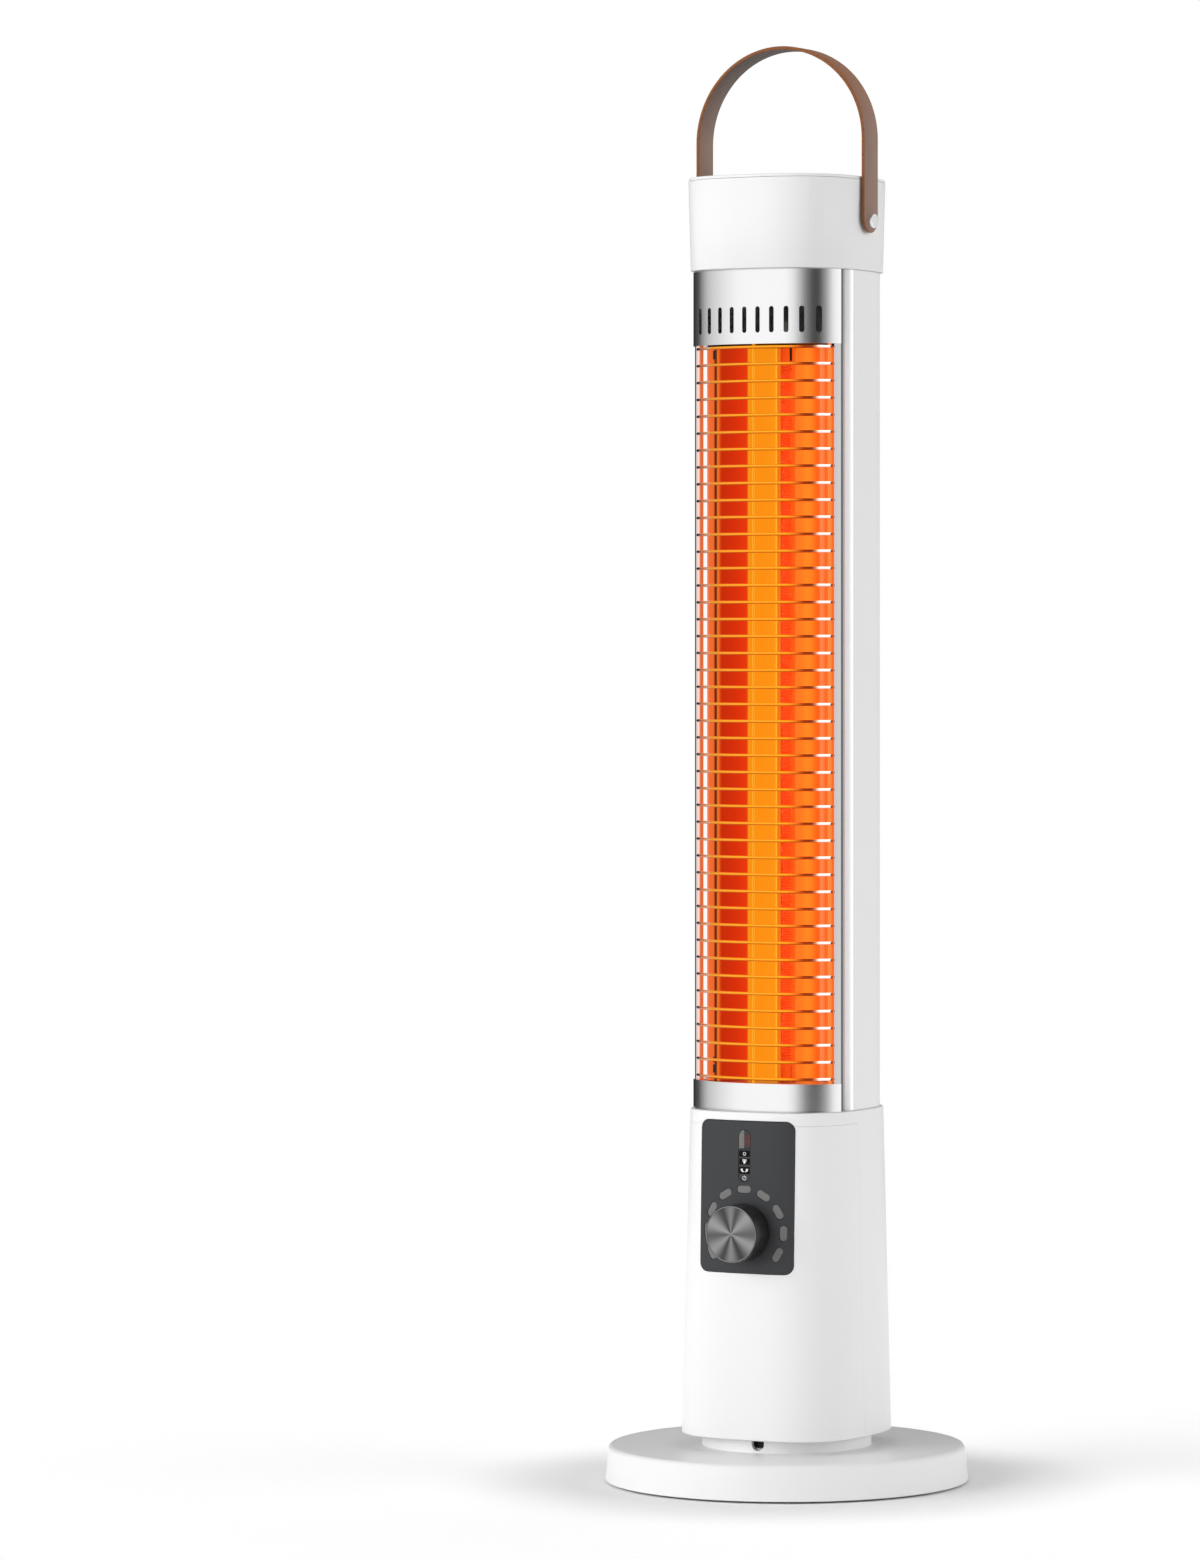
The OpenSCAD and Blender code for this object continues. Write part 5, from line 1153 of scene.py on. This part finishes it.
def cap():
    """The cap's shell, and the lid with the skirt that holds it inside the shell."""
    wall, edge, soft = 2.2, 0.5, 0.15
    levels = [plan_at(cap_size, CAP_FOOT, edge), plan_at(cap_size, CAP_FOOT, soft, soft),
              plan_at(cap_size, CAP_FOOT + edge), plan_at(cap_size, CAP_RIM - edge),
              plan_at(cap_size, CAP_RIM, 0.3), plan_at(cap_size, CAP_RIM, wall),
              plan_at(cap_size, CAP_FOOT, wall)]
    fit(combine(loft("smooth_cap_shell", levels, True), handle_hole()), "cap_shell")
    foot, edge, gap = CAP_RIM + 0.2, 1.0, 0.2
    levels = [plan_at(cap_size, foot, gap + soft), plan_at(cap_size, foot, gap, soft),
              plan_at(cap_size, LID_TOP - edge, gap)]
    levels += [plan_at(cap_size, LID_TOP, gap + edge * (1 - math.cos(a)), -edge * (1 - math.sin(a)))
               for a in (0.4, 0.8, 1.2, math.pi / 2)]
    levels += [plan_at(cap_size, LID_TOP, gap + 8)]
    plate = loft("smooth_cap_lid", levels)
    low, high, outside, inside = 854.4, 858.9, 2.4, 4
    walls = ((low, outside), (high, outside), (high, inside), (low, inside))
    skirt = loft("skirt", [(z, superellipse(*cap_size(CAP_FOOT, inset))) for z, inset in walls], True)
    fit(joined("smooth_cap_lid", [plate, skirt]), "cap_lid")


def strap_handle():
    """One strip of leather over the cap: flat sides, a round arch and round ends."""
    outer, half_t, w, arch, soft = 62.5, 1.1, 10.25, 885.4, 0.55
    end = HANDLE_Z - 7.8 + w
    middle = outer - half_t
    corner = [(0, soft), (0.17, 0.17), (soft, 0)]
    turns = [math.pi * i / 64 for i in range(1, 64)]
    path = [(-middle, mix(end, arch, i / 12)) for i in range(13)]
    path += [(-middle * math.cos(t), arch + middle * math.sin(t)) for t in turns]
    path += [(middle, mix(arch, end, i / 12)) for i in range(13)]
    quarters = ((-1, -1, corner), (1, -1, corner[::-1]), (1, 1, corner), (-1, 1, corner[::-1]))
    section = [(across * (w - a), out * (half_t - b)) for across, out, bends in quarters for a, b in bends]
    points = []
    for i, (x, z) in enumerate(path):
        a, b = path[max(i - 1, 0)], path[min(i + 1, len(path) - 1)]
        d = math.hypot(b[0] - a[0], b[1] - a[1])
        nx, nz = -(b[1] - a[1]) / d, (b[0] - a[0]) / d
        points += [(x + nx * h, y, z + nz * h) for y, h in section]
    strap = make_piece("bent_leather_strap", points, ring_faces(len(path), len(section), False))
    layers = [(-(half_t - b), a) for a, b in corner[::-1]] + [(half_t - b, a) for a, b in corner]
    for side in (-1, 1):
        points = []
        for h, inset in layers:
            r = w - inset
            plan = [(r * math.cos(a), end - r * math.sin(a)) for a in [math.pi * i / 24 for i in range(25)]]
            plan += [(-r, end + 0.001), (r, end + 0.001)]
            points += [(side * middle + h, y, z) for y, z in plan]
        combine(strap, make_piece("tail", points, ring_faces(len(layers), len(plan), False)), "UNION")
    combine(strap, handle_hole())

    def is_cut(c, n):
        radial = math.hypot(c.y, c.z - end) if c.z < end + 0.5 else abs(c.y)
        flat = abs(n.x) if c.z < arch else math.hypot(n.x, n.z)
        return radial > w - soft + 0.02 and flat < 0.93

    keep_value(strap, "cut_edge", is_cut)
    keep_value(strap, "outer_side", lambda c, n: c.x * n.x + (c.z - arch) * n.z > 0)
    fit(strap, "strap_handle")


def rivets():
    """A rivet through the strap and the cap on each side, with a soft-edged head."""
    seat, shank, head, length, height, edge, axis_r = 62.55, 2.5, 4.7, 6.5, 2.5, 0.6, 0.001
    profile = [(axis_r, seat - length), (shank, seat - length), (shank, seat), (head, seat),
               (head, seat + height)]
    profile += [(head - edge * (1 - math.cos(a)), seat + height + edge * math.sin(a))
                for a in (0.4, 0.8, 1.2, 1.57)]
    profile += [(axis_r, seat + height + edge)]
    pieces = [revolve("rivet", [(r, side * h) for r, h in profile], 64, True, "X", (0, 0, HANDLE_Z))
              for side in (-1, 1)]
    fit(joined("turned_rivets", pieces), "rivets")


# The studio

def seen_by(tree, *rays):
    """1 for the rays that are named, and 0 for the others."""
    kind = put(tree, "ShaderNodeLightPath").outputs
    seen = kind[rays[0]]
    for ray in rays[1:]:
        seen = maths(tree, "MAXIMUM", seen, kind[ray])
    return seen


def set_world():
    """White for the camera, plain light for matt surfaces, and soft cards round about for shiny ones."""
    world = bpy.data.worlds.new("white studio")
    bpy.context.scene.world = world
    world.use_nodes = True
    tree = world.node_tree
    tree.nodes.clear()
    x, y, _ = axes(tree, put(tree, "ShaderNodeTexCoord").outputs["Generated"])
    turn = maths(tree, "ARCTAN2", x, maths(tree, "MULTIPLY", y, -1.0))
    cards = [(-180, 0.5), (-130, 0.02), (-104, 0.08), (-92, 0.3), (-79, 0.56), (-55, 0.8), (-38, 0.98),
             (-30, 1.0), (4, 1.0), (12, 0.84), (19, 0.5), (27, 0.2), (36, 0.06), (45, 0.06), (56, 0.36),
             (67, 0.86), (76, 1.0), (122, 0.9), (140, 0.72), (162, 0.7), (180, 0.5)]
    stops = [((degrees + 180) / 360, grey(strength)) for degrees, strength in cards]
    around = ramp(tree, share_of(tree, turn, -math.pi, math.pi), stops)
    light = blended(tree, seen_by(tree, "Is Glossy Ray"), grey(0.45), around)
    colour = blended(tree, seen_by(tree, "Is Camera Ray", "Is Transmission Ray"), light, WHITE)
    back = put(tree, "ShaderNodeBackground", {"Color": colour, "Strength": 1.0})
    feed(tree, put(tree, "ShaderNodeOutputWorld").inputs, {"Surface": back.outputs[0]})


def set_lamps():
    """Wide soft lamps: name, degrees round from the front, degrees up, strength and width in degrees."""
    suns = (("key light", -35, 16, 2.2, 50),
            ("fill light", 101, 12, 1.1, 40),
            ("rear light", 172, 12, 0.3, 40))
    for name, side, rise, power, spread in suns:
        sun = bpy.data.lights.new(name, "SUN")
        sun.energy, sun.angle = power, math.radians(spread)
        hung = in_scene(name, sun)
        a, e = math.radians(side), math.radians(rise)
        toward = Vector((math.sin(a) * math.cos(e), -math.cos(a) * math.cos(e), math.sin(e)))
        hung.rotation_euler = toward.to_track_quat("Z", "Y").to_euler()
        hung.visible_glossy = False


@material
def studio_paint(tree, shader, place):
    """Pale paint that keeps the object's shadow near the middle and fades to white round about. Close to the
    base it has less glow of its own, which paints extra shade there.
    """
    away = put(tree, "ShaderNodeVectorMath", {0: place}, operation="LENGTH").outputs["Value"]
    # painted shade: the paint's own glow is held back close to the base
    near = share_of(tree, away, 0.118, 0.24, 0.0, 0.29, "SMOOTHSTEP")
    far = share_of(tree, away, 0.2, 0.6, interpolation="SMOOTHSTEP")
    seen = seen_by(tree, "Is Camera Ray", "Is Glossy Ray", "Is Transmission Ray")
    feed(tree, shader, {"Base Color": grey(0.95), "Roughness": 0.9, "Specular IOR Level": 0.1,
                        "Emission Color": WHITE, "Emission Strength": maths(tree, "MULTIPLY", seen, near)})
    paint = tree.nodes["Principled BSDF"].outputs[0]
    white = put(tree, "ShaderNodeEmission", {"Color": WHITE, "Strength": 1.0}).outputs[0]
    both = put(tree, "ShaderNodeMixShader", {0: maths(tree, "MULTIPLY", far, seen), 1: paint, 2: white})
    feed(tree, tree.nodes["Material Output"].inputs, {"Surface": both.outputs[0]})


def set_floor():
    half = 1.5
    corners = [(-half, -half, 0), (half, -half, 0), (half, half, 0), (-half, half, 0)]
    mesh = bpy.data.meshes.new("studio_floor")
    mesh.from_pydata(corners, [], [(0, 1, 2, 3)])
    mesh.materials.append(studio_paint("pale studio floor"))
    in_scene("studio_floor", mesh)


# The whole scene

set_camera()
bpy.context.scene.view_settings.view_transform = "Standard"
set_world()
set_lamps()
set_floor()
dress_cad_nodes()
base_cover()
swivel_collar()
lower_shells()
control_panel()
icon_cells()
icon_marks()
knob()
rear_housing()
side_rails()
bands()
reflector()
mirror_clips()
lamp()
guard()
cap()
strap_handle()
rivets()
